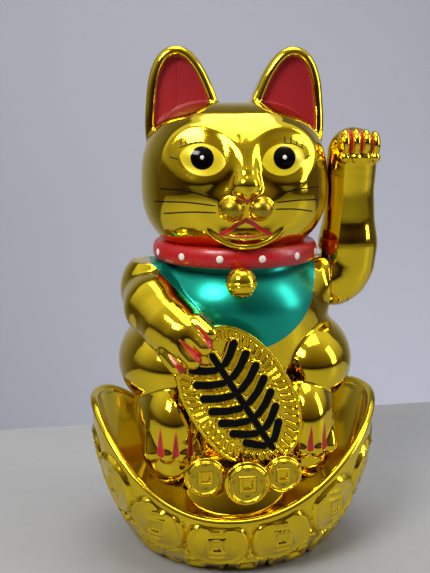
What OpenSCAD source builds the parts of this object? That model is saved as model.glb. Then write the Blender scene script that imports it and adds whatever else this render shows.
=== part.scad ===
// Beckoning cat figurine with a battery-driven swinging arm, sitting in a boat-shaped
// gold ingot. Millimetres. The cat looks along -Y, its raised left arm is on the +X side,
// +Z is up, and the origin is the middle of the footprint on the table.

/* [Ingot base] */
// Half length of the rim, along X
rim_a = 59.6; // [58.5:0.1:61]
// Half width of the rim, along Y
rim_b = 49; // [48:0.5:51]
// Height of the rim at the front and back
rim_low = 26; // [25:0.5:28]
// Height of the rim at its two tips
rim_high = 62; // [58:1:66]
// Radius of the bead along the rim
bead_r = 1.6; // [1.2:0.1:2]
// Height of the floor that the cat sits on
deck_z = 22; // [21:0.5:22]

/* [Cat] */
// Height of the ear tips above the table
ear_tip_z = 205; // [203:0.5:207]
// Width of the head
head_w = 73; // [71:0.5:73.5]
// Height of the middle of the torso
torso_z = 93; // [92:0.5:94]
// Wall thickness of the head and body shells
wall = 2; // [1.6:0.1:2.4]

/* [Collar] */
// Outer radius of the collar
collar_r = 33.5; // [33:0.1:34.5]
// Height of the collar
collar_h = 7.6; // [7:0.2:8.4]
// Number of raised dots round the collar
collar_dots = 13; // [10:1:16]

/* [Coin tablet] */
// Half length of the oval tablet that the cat holds
tablet_a = 30; // [29:0.5:31]
// Half width of the tablet
tablet_b = 19.6; // [19:0.2:20]
// Lean of the tablet's long axis from upright, in degrees
tablet_lean = 32; // [30:1:34]

/* [Swinging arm] */
// Height of the arm's shaft
axis_z = 110; // [109.5:0.5:110.5]
// Diameter of the steel shaft
shaft_d = 3; // [2.5:0.1:3.2]
// Radial clearance between the shaft and its bushes
running_clearance = 0.05; // [0.02:0.01:0.1]
// Wall thickness of the arm's two shells
arm_wall = 1.6; // [1.4:0.1:1.8]
// Radius of the upper arm where it meets the body
upper_arm_r = 11.5; // [11.2:0.1:11.8]
// Shift of the counterweight towards the back, which levels the arm
weight_shift = 1.7; // [0:0.1:3.4]

/* [Battery and switch] */
// Diameter of the cell, size AA
cell_d = 14.2; // [13.5:0.1:14.5]
// Length of the cell with its button
cell_l = 50.5; // [49.2:0.1:50.5]
// How far the battery door slides to unhook
door_travel = 5; // [4:0.5:5]
// Travel of the power switch's knob
switch_travel = 3; // [2:0.5:3]

/* [Hidden] */

gold = [0.86, 0.68, 0.12];
far = 300;

// Ingot: the outer wall swells from the foot ellipse to the rim ellipse
foot_a = 38.4;
foot_b = 33.2;
bowl_wall = 2.2;
swell = 1.72;
rim_power = 2.3;
back_rim_power = 3.4;
rim_shift = 8;
around = 56;
deck_t = 2;
deck_hole_a = 36;
deck_hole_b = 31;

// The rim's lowest point lies a little to the cat's right, and the rim stays high behind the tips
function rim_share(t) =
    sin(t) > 0
        ? 1 - pow(sin(t), back_rim_power)
        : pow(abs(cos(t - rim_shift * sin(t))), rim_power);

function rim_z(t) = rim_low + (rim_high - rim_low) * rim_share(t);

// A point of the wall at angle t: u is 0 at the foot and 1 at the rim
function wall_point(t, u, inset = 0) =
    let (s = pow(sin(90 * u), swell))
    [
        (foot_a + (rim_a - foot_a) * s - inset) * cos(t),
        (foot_b + (rim_b - foot_b) * s - inset) * sin(t),
        rim_z(t) * (1 - cos(90 * u))
    ];

// The u at which the wall reaches height z
function wall_u(t, z) = acos(1 - z / rim_z(t)) / 90;

function ring_point(a, b, t, z) = [a * cos(t), b * sin(t), z];

function bowl_profile(t) =
    let (
        outer_steps = 9,
        inner_steps = 5,
        bead_steps = 6,
        deck_u = wall_u(t, deck_z),
        under_z = deck_z - deck_t,
        under_u = wall_u(t, under_z),
        top = wall_point(t, 1, bead_r / 2)
    )
    concat(
        [for (i = [0:outer_steps - 1]) wall_point(t, i / outer_steps)],
        [for (i = [0:bead_steps])
            let (a = -40 + 260 * i / bead_steps)
            top + bead_r * [cos(a) * cos(t), cos(a) * sin(t), sin(a)]],
        [for (i = [1:inner_steps])
            let (u = 1 - (1 - deck_u) * i / inner_steps)
            wall_point(t, u, bowl_wall)],
        [ring_point(deck_hole_a, deck_hole_b, t, deck_z)],
        [ring_point(deck_hole_a, deck_hole_b, t, under_z)],
        [wall_point(t, under_u, bowl_wall + 1)],
        [ring_point(foot_a - bowl_wall, foot_b - bowl_wall, t, 0)]
    );

// A closed ring of profiles, each a closed loop with the same number of points
module ring_loft(profiles) {
    n = len(profiles);
    m = len(profiles[0]);
    points = [for (p = profiles) each p];
    faces = [
        for (i = [0:n - 1], j = [0:m - 1])
            let (
                a = i * m + j,
                b = ((i + 1) % n) * m + j,
                c = ((i + 1) % n) * m + (j + 1) % m,
                d = i * m + (j + 1) % m
            )
            each [[a, d, c], [a, c, b]]
    ];
    polyhedron(points, faces);
}

module ingot_bowl() {
    color(gold)
        ring_loft([for (i = [0:around - 1]) bowl_profile(360 * i / around)]);
}

// ---------------------------------------------------------------- support and battery

function ellipse_outline(a, b, n = 48) = [for (i = [0:n - 1]) [a * cos(360 * i / n), b * sin(360 * i / n)]];

module ellipse_plate(a, b, t) {
    linear_extrude(t)
        polygon(ellipse_outline(a, b));
}

plate_t = 3;
plate_z = 2;
plate_top = plate_z + plate_t;
plate_a = foot_a - bowl_wall - 0.4;
plate_b = foot_b - bowl_wall - 0.4;
seat_t = 3;
seat_top = deck_z + seat_t;
pillar_r = 3;
screw_r = 1.3;
screw_head_r = 2.6;
pillar_spots = [[0, -25], [22, 18], [-22, 18]];
frame_spots = [[3, 13], [3, -13], [31.2, 13], [31.2, -13]];
board_spots = [[-12, 8], [-12, -8], [-30, 0]];
lead_hole = [-8, 0];
lead_hole_r = 2.2;

// The chassis plate inside the cat: it clamps the ingot's floor against the base plate
module seat_plate() {
    color("whitesmoke")
        difference() {
            union() {
                translate([0, 0, deck_z])
                    ellipse_plate(37.2, 38, seat_t);
                for (p = pillar_spots)
                    translate([p.x, p.y, plate_top])
                        cylinder(h = deck_z - plate_top + 1, r = pillar_r, $fn = 40);
            }
            for (p = pillar_spots)
                translate([p.x, p.y, plate_top - 1])
                    cylinder(h = 12, r = screw_r, $fn = 32);
            for (p = frame_spots)
                translate([p.x, p.y, deck_z - 1])
                    cylinder(h = seat_t + 2, r = 1.1, $fn = 32);
            translate([lead_hole.x, lead_hole.y, deck_z - 1])
                cylinder(h = seat_t + 2, r = lead_hole_r, $fn = 32);
        }
}

bay_x = 28;
bay_y = 7.9;
bay_wall = 1.2;
bay_top = 19.4;
bay_roof_x = 24.5;
door_x = 29;
door_y = 8.7;
door_t = 1.5;
door_gap = 0.25;
tongue = 1.2;
tongue_z = 0.9;
switch_y = 20;

// The underside cover: battery bay, door recess, switch slot and screw holes
module base_plate() {
    color("ivory")
        difference() {
            union() {
                translate([0, 0, plate_z])
                    ellipse_plate(plate_a, plate_b, plate_t);
                translate([-bay_x - bay_wall, -bay_y - bay_wall, plate_z + 1])
                    cube([2 * (bay_x + bay_wall), 2 * (bay_y + bay_wall), bay_top - plate_z - 1]);
            }
            // The bay, closed above by a roof that stops short of the contacts
            translate([-bay_x, -bay_y, plate_z - 1])
                cube([2 * bay_x, 2 * bay_y, bay_top - bay_wall - plate_z + 1]);
            for (side = [-1, 1])
                translate([side > 0 ? bay_roof_x : -bay_x, -bay_y, plate_z])
                    cube([bay_x - bay_roof_x, 2 * bay_y, bay_top]);
            // The door's recess, long enough for its travel
            translate([-door_x - door_gap, -door_y - door_gap - door_travel, plate_z - 1])
                cube([2 * (door_x + door_gap), 2 * (door_y + door_gap) + door_travel, door_t + door_gap + 1]);
            translate([-door_x - tongue - door_gap, -door_y - door_gap - door_travel, plate_z + tongue_z - 0.25])
                cube([2 * (door_x + tongue + door_gap), 2 * (door_y + door_gap) + door_travel, 1.1]);
            translate([-switch_travel / 2 - 1.9, switch_y - 1.7, plate_z - 1])
                cube([switch_travel + 3.8, 3.4, plate_t + 2]);
            for (p = pillar_spots)
                translate([p.x, p.y, plate_z - 1]) {
                    cylinder(h = plate_t + 2, r = screw_r + 0.2, $fn = 32);
                    cylinder(h = 2.6, r = screw_head_r + 0.3, $fn = 40);
                }
        }
}

module pan_screw(length, shank_r, head_r, head_t) {
    difference() {
        union() {
            cylinder(h = head_t, r = head_r, $fn = 40);
            cylinder(h = head_t + length, r = shank_r, $fn = 32);
        }
        for (turn = [0, 90])
            rotate(turn)
                translate([-head_r * 0.62, -0.3, -0.1])
                    cube([head_r * 1.24, 0.6, head_t * 0.6]);
    }
}

module base_screws() {
    color("silver")
        for (p = pillar_spots)
            translate([p.x, p.y, plate_z + 0.2])
                pan_screw(10, screw_r - 0.02, screw_head_r, 1.4);
}

module battery_door() {
    color("ivory")
        difference() {
            union() {
                translate([-door_x, -door_y, plate_z])
                    cube([2 * door_x, 2 * door_y, door_t]);
                translate([-door_x - tongue, -door_y, plate_z + tongue_z])
                    cube([2 * (door_x + tongue), 2 * door_y, 0.6]);
            }
            // Thumb grip: a row of shallow grooves
            for (i = [-3:3])
                translate([-8, i * 1.4 - 0.3, plate_z - 0.1])
                    cube([16, 0.6, 0.5]);
        }
}

cell_z = 10.85;
cell_x = -24;

module battery_cell() {
    color("forestgreen")
        translate([cell_x, 0, cell_z])
            rotate([0, 90, 0])
                union() {
                    cylinder(h = cell_l - 1, r = cell_d / 2, $fn = 64);
                    cylinder(h = cell_l, r = 2.7, $fn = 40);
                }
}

// A tube swept along a route, with its ends closed
function unit(v) = v / norm(v);
function route_dir(route, i) =
    unit(route[min(i + 1, len(route) - 1)] - route[max(i - 1, 0)]);

module swept_tube(route, r, sides = 8) {
    n = len(route);
    points = [
        for (i = [0:n - 1])
            let (
                d = route_dir(route, i),
                side = unit(cross(d, abs(d.z) > 0.8 ? [0, 1, 0] : [0, 0, 1])),
                up = cross(side, d)
            )
            for (k = [0:sides - 1])
                route[i] + r * (cos(360 * k / sides) * side + sin(360 * k / sides) * up)
    ];
    walls = [
        for (i = [0:n - 2], k = [0:sides - 1])
            let (
                a = i * sides + k,
                b = i * sides + (k + 1) % sides
            )
            each [[a, a + sides, b + sides], [a, b + sides, b]]
    ];
    start_cap = [[for (k = [0:sides - 1]) k]];
    end_cap = [[for (k = [sides - 1:-1:0]) (n - 1) * sides + k]];
    polyhedron(points, concat(walls, start_cap, end_cap));
}

// The negative contact: a conical coil between the bay's end wall and the cell
spring_turns = 4;
spring_steps = 40;

module negative_spring() {
    route = [
        for (i = [0:spring_steps])
            let (
                f = i / spring_steps,
                r = 5.5 - 2.5 * f
            )
            [-bay_x + 0.6 + 2.6 * f, r * cos(360 * spring_turns * f), cell_z + r * sin(360 * spring_turns * f)]
    ];
    color("silver")
        swept_tube(route, 0.4, 6);
}

module positive_contact() {
    color("silver")
        union() {
            translate([bay_x - 0.7, -4, 5])
                cube([0.5, 8, 14.5]);
            translate([bay_x - 1.2, -2, cell_z - 2])
                cube([0.6, 4, 4]);
        }
}

module switch_housing() {
    color("dimgray")
        difference() {
            translate([-6, switch_y - 2.9, plate_top])
                cube([12, 5.8, 5.5]);
            translate([-4.8, switch_y - 1.9, plate_top - 1])
                cube([9.6, 3.8, 4.6]);
        }
}

module switch_knob() {
    color("black")
        translate([-switch_travel / 2, switch_y, 0]) {
            translate([-1.6, -1.3, 0.9])
                cube([3.2, 2.6, 6]);
            translate([-2.6, -1.5, plate_top + 0.3])
                cube([5.2, 3, 2.4]);
        }
}

// ---------------------------------------------------------------- movement

shaft_r = shaft_d / 2;
frame_left_x = 5;
frame_right_x = 27;
frame_t = 3;
bush_r = 3;
eye_r = 5.6;
tie_z = 4.8;
tie_t = 1.7;
lever_x = 16;
frame_base_t = 2.5;
body_face_x = 38;
arm_gap = 0.6;
arm_face_x = body_face_x + arm_gap;

module along_x(x, z = axis_z, y = 0) {
    translate([x, y, z])
        rotate([0, 90, 0])
            children();
}

// Two uprights with bearing eyes on a foot that carries the coil
module movement_frame() {
    base_z = seat_top;
    color("white")
        difference() {
            union() {
                translate([-1, -16.5, base_z])
                    cube([34.8, 33, frame_base_t]);
                for (x = [frame_left_x, frame_right_x]) {
                    translate([x - frame_t / 2, -eye_r, base_z])
                        cube([frame_t, 2 * eye_r, axis_z - base_z]);
                    along_x(x - frame_t / 2)
                        cylinder(h = frame_t, r = eye_r, $fn = 64);
                }
                // Tie bar between the two eyes, above the lever's hub
                translate([frame_left_x - frame_t / 2, -2.5, axis_z + tie_z])
                    cube([frame_right_x - frame_left_x + frame_t, 5, tie_t]);
            }
            for (x = [frame_left_x, frame_right_x])
                along_x(x - frame_t)
                    cylinder(h = 2 * frame_t, r = bush_r, $fn = 64);
            for (x = [frame_left_x, frame_right_x])
                translate([x - frame_t, -2.5, base_z + 16])
                    cube([2 * frame_t, 5, axis_z - base_z - 32]);
            for (p = frame_spots)
                translate([p.x, p.y, base_z - 1])
                    cylinder(h = frame_base_t + 2, r = 1.3, $fn = 32);
            translate([lever_x, 0, base_z - 1])
                cylinder(h = frame_base_t + 2, r = 3.55, $fn = 48);
        }
}

module frame_screws() {
    color("silver")
        for (p = frame_spots)
            translate([p.x, p.y, seat_top + frame_base_t + 1.2])
                mirror([0, 0, 1])
                    pan_screw(5.2, 1.08, 2.1, 1.2);
}

// Flanged brass bushes, their flanges on the outer faces of the uprights
module bush() {
    difference() {
        union() {
            cylinder(h = frame_t + 0.8, r = bush_r - 0.02, $fn = 64);
            cylinder(h = 0.8, r = bush_r + 1.2, $fn = 64);
        }
        translate([0, 0, -1])
            cylinder(h = frame_t + 3, r = shaft_r + running_clearance, $fn = 64);
    }
}

module shaft_bushes() {
    color("goldenrod") {
        along_x(frame_left_x - frame_t / 2 - 0.8)
            bush();
        along_x(frame_right_x + frame_t / 2 + 0.8)
            mirror([0, 0, 1])
                bush();
    }
}

shaft_from = 0.4;
shaft_to = 50;
clip_x = 2;

module arm_shaft() {
    color("silver")
        along_x(shaft_from)
            cylinder(h = shaft_to - shaft_from, r = shaft_r, $fn = 64);
}

module shaft_clip() {
    color("dimgray")
        along_x(clip_x - 0.8)
            difference() {
                cylinder(h = 0.8, r = shaft_r + 1.9, $fn = 48);
                translate([0, 0, -1])
                    cylinder(h = 3, r = shaft_r, $fn = 64);
            }
}

lever_t = 3;
lever_w = 8;
magnet_r = 6;
magnet_t = 5;
magnet_low = 52;
cup_r = magnet_r + 1.4;
cup_t = magnet_t + 2.4;
hub_r = 4;
hub_l = 14;

// The plastic lever that hangs from the shaft and holds the magnet
module pendulum_lever() {
    cup_top = magnet_low + cup_t;
    color("gainsboro")
        difference() {
            union() {
                along_x(lever_x - hub_l / 2)
                    cylinder(h = hub_l, r = hub_r, $fn = 64);
                translate([lever_x - lever_t / 2, -lever_w / 2, cup_top - 1])
                    cube([lever_t, lever_w, axis_z - cup_top - hub_r + 2]);
                translate([lever_x, 0, magnet_low])
                    cylinder(h = cup_t, r = cup_r, $fn = 64);
            }
            along_x(lever_x - hub_l)
                cylinder(h = 2 * hub_l, r = shaft_r, $fn = 64);
            translate([lever_x, 0, magnet_low - 1])
                cylinder(h = magnet_t + 1, r = magnet_r, $fn = 64);
        }
}

module drive_magnet() {
    color("darkgray")
        translate([lever_x, 0, magnet_low])
            cylinder(h = magnet_t, r = magnet_r - 0.02, $fn = 64);
}

weight_l = 11;
weight_w = 16;
weight_h = 13;
weight_z = 66;

// Steel block that straddles the lever and balances the hollow arm
module counterweight() {
    color("slategray")
        difference() {
            translate([lever_x - weight_l / 2, weight_shift - weight_w / 2, weight_z])
                cube([weight_l, weight_w, weight_h]);
            translate([lever_x - lever_t / 2 - 0.02, -lever_w / 2 - 0.02, weight_z - 1])
                cube([lever_t + 0.04, lever_w + 0.04, weight_h + 2]);
        }
}

coil_low = 37;
coil_h = 8;
flange_r = 9.2;
core_r = 3.5;

module coil_bobbin() {
    color("white")
        translate([lever_x, 0, 0])
            difference() {
                union() {
                    translate([0, 0, seat_top])
                        cylinder(h = coil_low + coil_h + 1 - seat_top, r = core_r, $fn = 48);
                    for (z = [coil_low - 1, coil_low + coil_h])
                        translate([0, 0, z])
                            cylinder(h = 1, r = flange_r, $fn = 64);
                    translate([0, 0, seat_top + frame_base_t])
                        cylinder(h = 3, r = core_r + 2, $fn = 48);
                }
                translate([0, 0, seat_top - 1])
                    cylinder(h = coil_low + coil_h, r = 1.5, $fn = 32);
            }
}

module drive_coil() {
    color("chocolate")
        translate([lever_x, 0, coil_low])
            difference() {
                cylinder(h = coil_h, r = flange_r - 0.8, $fn = 64);
                translate([0, 0, -1])
                    cylinder(h = coil_h + 2, r = core_r + 0.02, $fn = 64);
            }
}

board_z = seat_top + 3;
board_t = 1.6;
board_top = board_z + board_t;

module circuit_board() {
    color("darkgreen")
        difference() {
            translate([-33, -11, board_z])
                cube([26.5, 22, board_t]);
            for (p = board_spots)
                translate([p.x, p.y, board_z - 1])
                    cylinder(h = board_t + 2, r = 1.05, $fn = 32);
            translate([lead_hole.x - 2.5, -3, board_z - 1])
                cube([5, 6, board_t + 2]);
        }
}

module board_posts() {
    color("white")
        for (p = board_spots)
            translate([p.x, p.y, seat_top]) {
                cylinder(h = board_z - seat_top, r = 1.8, $fn = 32);
                cylinder(h = board_top - seat_top + 1, r = 1, $fn = 32);
            }
}

module drive_transistor() {
    color("black")
        translate([-20, 5, board_top])
            union() {
                for (i = [-1:1])
                    translate([i * 1.27 - 0.25, -0.25, 0])
                        cube([0.5, 0.5, 3]);
                translate([0, 0, 2.5])
                    difference() {
                        cylinder(h = 4.6, r = 2.3, $fn = 48);
                        translate([-4, -5, -1])
                            cube([8, 3.6, 7]);
                    }
            }
}

module capacitor() {
    color("navy")
        translate([-23, -5, board_top])
            union() {
                cylinder(h = 7, r = 2.5, $fn = 48);
                translate([0, 0, 6])
                    cylinder(h = 1.4, r = 1.9, $fn = 48);
            }
}

module resistor() {
    color("tan")
        translate([-17, -6, board_top + 1.4])
            union() {
                rotate([0, 90, 0])
                    cylinder(h = 6, r = 1.1, $fn = 32);
                translate([-1, -0.25, -1.4])
                    cube([0.5, 0.5, 1.65]);
                translate([-1, -0.25, -0.25])
                    cube([8, 0.5, 0.5]);
                translate([6.5, -0.25, -1.4])
                    cube([0.5, 0.5, 1.65]);
            }
}

lead_r = 0.55;
lead_z = 20.5;

// Insulated leads: along the top of the battery bay and up through the seat plate
module lead_red() {
    color("red")
        swept_tube([
            [27.6, 0.5, 20.2], [26, 1, 20.6], [20, 1.3, lead_z], [10, 1.2, lead_z], [0, 1, lead_z],
            [-5, 1, 20.7], [-7, 1, 22.2], [-7.3, 1, 25], [-7.4, 1, 29], [-7.8, 1.5, 32],
            [-9.5, 2.5, 33], [-11.6, 3.2, 32], [-12, 3.4, board_top + 0.15]
        ], lead_r);
}

module lead_black() {
    color("black")
        swept_tube([
            [-26.8, 0, 20.7], [-25, 3, 20.9], [-21.5, 8, 20.9], [-18.5, 11, 20.2], [-14, 13, 17.2],
            [-9, 15, 14], [-5, 17.8, 12.4], [-3, 19.5, plate_top + 6.2]
        ], lead_r);
}

module lead_switch() {
    color("dimgray")
        swept_tube([
            [2.6, 19.6, plate_top + 6.2], [1.5, 17, 13], [0, 13.6, 16], [-1.5, 11.4, 20.2],
            [-3.5, 8.2, 20.8], [-7, 3, lead_z + 0.3], [-8.6, 0.2, 22], [-8.8, -0.8, 25],
            [-8.8, -0.8, 29], [-8.8, -1, 32], [-10.4, -1.6, 33], [-12.2, -2, 32],
            [-12.6, -2.2, board_top + 0.15]
        ], lead_r);
}

// ---------------------------------------------------------------- rounded forms

blob_facets = 22;
limb_facets = 14;

// An ellipsoid
module blob(at, radii, facets = blob_facets) {
    translate(at)
        scale(radii)
            sphere(r = 1, $fn = facets);
}

// A tapered limb with round ends
module limb(a, ra, b, rb, facets = limb_facets) {
    hull() {
        translate(a)
            sphere(r = ra, $fn = facets);
        translate(b)
            sphere(r = rb, $fn = facets);
    }
}

module both_sides() {
    children();
    mirror([1, 0, 0])
        children();
}

module front_half(y = 0) {
    intersection() {
        children();
        translate([-far, y - far, -far])
            cube([2 * far, far, 2 * far]);
    }
}

module rear_half(y = 0) {
    intersection() {
        children();
        translate([-far, y, -far])
            cube([2 * far, far, 2 * far]);
    }
}

// ---------------------------------------------------------------- arm

elbow = [47.4, 0, 112];
wrist = [48.3, -1, 150];
palm = [47, -5.5, 164.5];
toe_tip_y = -18.5;
arm_facets = 22;

module arm_form(inset = 0) {
    hull() {
        along_x(arm_face_x - (inset > 0 ? 1 : 0))
            cylinder(h = 6, r = upper_arm_r - inset, $fn = 32);
        translate(elbow)
            sphere(r = 11.7 - inset, $fn = arm_facets);
    }
    limb(elbow, 11.7 - inset, wrist, 9.5 - inset, arm_facets);
    limb(wrist, 9.5 - inset, palm, 9.8 - inset, 20);
}

module arm_toes() {
    for (i = [0:3]) {
        x = palm.x - 7.2 + 4.8 * i;
        reach = i == 0 || i == 3 ? 2 : 0;
        limb([x, -6, 170.5 - reach / 2], 3.6, [x, toe_tip_y + reach, 167.5 - reach / 2], 3, 12);
        limb([x, toe_tip_y + reach, 167.5 - reach / 2], 3, [x, toe_tip_y + 1.5 + reach, 163.2], 2.6, 12);
    }
}

module arm_shell() {
    difference() {
        union() {
            arm_form();
            arm_toes();
        }
        arm_form(arm_wall);
        // Flat face that turns beside the body's boss
        along_x(0)
            cylinder(h = arm_face_x, r = 14, $fn = 48);
    }
}

module arm_front_shell() {
    color(gold)
        front_half()
            arm_shell();
}

module arm_rear_shell() {
    color(gold)
        rear_half(0.02)
            arm_shell();
}

// Plug that closes the open end of the upper arm and takes the shaft
module arm_end_cap() {
    color(gold)
        difference() {
            union() {
                along_x(arm_face_x)
                    cylinder(h = 2, r = upper_arm_r - arm_wall - 0.15, $fn = 64);
                along_x(arm_face_x)
                    cylinder(h = shaft_to - arm_face_x, r = 4, $fn = 48);
            }
            along_x(arm_face_x - 1)
                cylinder(h = 20, r = shaft_r, $fn = 64);
        }
}

// ---------------------------------------------------------------- collar and neck

neck_z = 124.7;
neck_y = -2;
collar_in_r = 27;
collar_gap = 0.15;

module at_neck(z = 0) {
    translate([0, neck_y, neck_z + z])
        children();
}

// Keeps a form out of the collar's ring and leaves a spigot inside it
module collar_seat() {
    difference() {
        at_neck(-collar_h / 2 - collar_gap)
            cylinder(h = collar_h + 2 * collar_gap, r = 70, $fn = 48);
        at_neck(-far)
            cylinder(h = 2 * far, r = collar_in_r - collar_gap, $fn = 64);
    }
}

module collar_ring() {
    stem_z = neck_z - 2.9;
    color("crimson")
        difference() {
            union() {
                at_neck()
                    rotate_extrude($fn = 96)
                        polygon([
                            [collar_in_r, -collar_h / 2],
                            [collar_r - 1.6, -collar_h / 2],
                            [collar_r - 0.5, -collar_h / 2 + 1],
                            for (a = [-30:10:30])
                                [collar_r - 6 + 6 * cos(a), 6 * sin(a) * collar_h / 7.6],
                            [collar_r - 0.5, collar_h / 2 - 1],
                            [collar_r - 1.6, collar_h / 2],
                            [collar_in_r, collar_h / 2]
                        ]);
                for (i = [0:collar_dots - 1])
                    at_neck()
                        rotate(-94 + 360 * (i + 0.5) / collar_dots)
                            translate([collar_r - 1.3, 0, 0])
                                sphere(r = 1.9, $fn = 32);
            }
            translate([bell_x, -31, stem_z])
                rotate([90, 0, 0])
                    cylinder(h = 8, r = 1.05, $fn = 32);
        }
}

bell_x = -2.5;
bell_r = 5.6;
bell_y = -42;
bell_z = 117;

module bell() {
    stem_z = neck_z - 2.9;
    color(gold)
        difference() {
            union() {
                translate([bell_x, bell_y, bell_z])
                    sphere(r = bell_r, $fn = 64);
                translate([bell_x, -31.5, stem_z])
                    rotate([90, 0, 0])
                        cylinder(h = -31.5 - bell_y, r = 1, $fn = 32);
            }
            translate([bell_x - 4, bell_y - bell_r, bell_z - bell_r - 0.6])
                cube([8, 1.6, 3]);
        }
}

// ---------------------------------------------------------------- body

haunch = [28, -4, 79.5];
leg_x = [-27.8, 24.1];
shoulder = [-33.8, -5, 109.3];
paw_elbow = [-33.8, -22, 104.4];
paw_wrist = [-27, -34, 98.5];
foot_at = [-30, 49.5];
paw_fingers = [
    [[-20.5, -42.5, 106], [-15.6, -47, 101.4]],
    [[-23.5, -43.5, 101.2], [-16.8, -47.8, 95.4]],
    [[-28.6, -43.5, 95.8], [-21.9, -47.8, 89.8]],
    [[-32, -42, 91.6], [-28.2, -46, 88]]
];

// The large rounded masses that have a cavity behind them
module body_form(inset = 0) {
    blob([0, 0, torso_z], [39.5 - inset, 34 - inset, 40 - inset]);
    blob([0, -8, 103], [32 - inset, 28 - inset, 22 - inset]);
    hull() {
        blob([0, 3, 90], [35 - inset, 33 - inset, 36 - inset], 20);
        blob([0, 2, 56], [40.5 - inset, 36 - inset, 34 - inset], 24);
    }
    both_sides()
        blob(haunch, [20.3 - inset, 30 - inset, 19.5 - inset], 28);
    for (x = leg_x)
        blob([x, -13, 60], [13.2 - inset, 28 - inset, 21 - inset], 24);
    blob(shoulder, [13.5 - inset, 16 - inset, 16 - inset]);
    hull() {
        translate([0, 0, deck_z - (inset > 0 ? 5 : 0)])
            linear_extrude(1)
                polygon(ellipse_outline(40 - inset, 44.8 - inset));
        translate([0, 0, 36 - inset])
            linear_extrude(1)
                polygon(ellipse_outline(38.5 - inset, 42.5 - inset));
    }
    at_neck(-20)
        cylinder(h = 19.85 + (inset > 0 ? 5 : 0), r = collar_in_r - collar_gap - inset, $fn = 48);
    along_x(20)
        cylinder(h = body_face_x - 20 - inset, r = 12.6 - inset, $fn = 40);
}

module paw_arm() {
    limb(shoulder + [-1, -3, -1], 12, paw_elbow, 11.8);
    limb(paw_elbow, 11.8, paw_wrist, 10.2);
    limb(paw_wrist, 10.2, [-24.6, -38.5, 98], 9.4);
    for (f = paw_fingers)
        limb(f[0], 3.4, f[1], 3.1, 12);
}

module feet() {
    for (x = leg_x) {
        limb([x, foot_at.x, foot_at.y], 9.6, [x, foot_at.x + 16, foot_at.y - 3], 12);
        for (i = [-1:1])
            limb(
                [x + i * 5.8, foot_at.x - 5, foot_at.y + 6], 3.8,
                [x + i * 5.8, foot_at.x - 7, foot_at.y - 2], 3.6, 12
            );
    }
}

module tablet_outline(a, b) {
    polygon([
        for (i = [0:63])
            let (
                t = 360 * i / 64,
                c = cos(t),
                s = sin(t)
            )
            [b * sign(c) * pow(abs(c), 0.9), a * sign(s) * pow(abs(s), 0.9)]
    ]);
}

tablet_at = [-3.9, -44.5, 73.9];
tablet_t = 3;
tablet_foot_z = 49;

module at_tablet() {
    translate(tablet_at)
        rotate([90, 0, 0])
            rotate(tablet_lean)
                children();
}

// Room for the tablet and the coins in the body's front
module tablet_room() {
    at_tablet()
        translate([0, 0, -tablet_t - 0.3])
            linear_extrude(tablet_t + 0.6)
                tablet_outline(tablet_a + 0.3, tablet_b + 0.3);
}

module arm_room() {
    along_x(body_face_x)
        cylinder(h = 40, r = 15, $fn = 40);
}

module body_shell() {
    difference() {
        union() {
            body_form();
            paw_arm();
            feet();
            blob([-6, -22, 72], [21, 19.3, 26]);
        }
        body_form(wall);
        // Room beside the foot of the movement frame
        translate([0, 0, deck_z])
            linear_extrude(17)
                polygon(ellipse_outline(31, 24));
        collar_seat();
        at_neck(-0.15)
            cylinder(h = far, r = 70, $fn = 24);
        translate([-far, -far, deck_z - far])
            cube([2 * far, 2 * far, far]);
        tablet_room();
        arm_room();
        along_x(body_face_x - 12)
            cylinder(h = 20, r = shaft_r + 1.2, $fn = 24);
    }
}

module body_front_shell() {
    color(gold)
        front_half()
            body_shell();
}

module body_rear_shell() {
    color(gold)
        rear_half(0.02)
            body_shell();
}

// ---------------------------------------------------------------- head

head_y = -3;
face_x = -2.4;
ear_r = 8.5;

module head_form(inset = 0) {
    hull() {
        both_sides() {
            blob([head_w / 2 - 25.5, head_y, 157], [25.5 - inset, 32 - inset, 26 - inset], inset > 0 ? 20 : 30);
            blob([head_w / 2 - 24, head_y - 1, 147], [24 - inset, 31 - inset, 24 - inset], inset > 0 ? 20 : 30);
        }
    }
    at_neck(0.15 - (inset > 0 ? 5 : 0))
        cylinder(h = 12, r = collar_in_r - collar_gap - inset, $fn = 48);
}

module ear() {
    tip = [24.5, 3, ear_tip_z - ear_r];
    difference() {
        hull() {
            blob(tip, [8.2, 6.6, ear_r], 24);
            blob([28.6, 3, 186], [7.4, 7, 7], 20);
            blob([29.2, 2, 172], [7, 7, 7], 20);
            blob([12.6, 2, 176], [6.5, 7, 6], 20);
        }
        hull() {
            blob(tip + [0, -9, -0.6], [6.2, 8, 6.6], 24);
            blob([28.3, -6, 185], [5.6, 8, 5.6], 20);
            blob([28.6, -7, 173], [5.5, 8, 5.5], 20);
            blob([13.6, -7, 177], [5.2, 8, 5], 20);
        }
    }
}

module face_relief() {
    both_sides() {
        blob([5.6, -35.5, 147.3], [6.8, 7.5, 6], 18);
        blob([15, -29, 162], [8.8, 6, 5.8], 20);
        limb([6.5, -31.5, 168.5], 2.6, [22.5, -26.5, 167.5], 2.2, 14);
    }
    limb([0, -31.5, 167], 3, [0, -38, 156], 3.2, 16);
    blob([0, -39.6, 153], [4, 4.2, 3.2], 20);
    limb([-7, -30, 137.5], 7, [7, -30, 137.5], 7);
    both_sides()
        limb([7, -33, 136], 2.4, [17, -27.5, 143], 1.8, 12);
}

module head_shell() {
    difference() {
        union() {
            head_form();
            both_sides()
                ear();
            translate([face_x, 0, 0])
                face_relief();
        }
        head_form(wall);
        collar_seat();
        at_neck(0.15 - far)
            cylinder(h = far, r = 70, $fn = 24);
    }
}

module head_front_shell() {
    color(gold)
        front_half()
            head_shell();
}

module head_rear_shell() {
    color(gold)
        rear_half(0.02)
            head_shell();
}

// ---------------------------------------------------------------- tablet and coins

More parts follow.
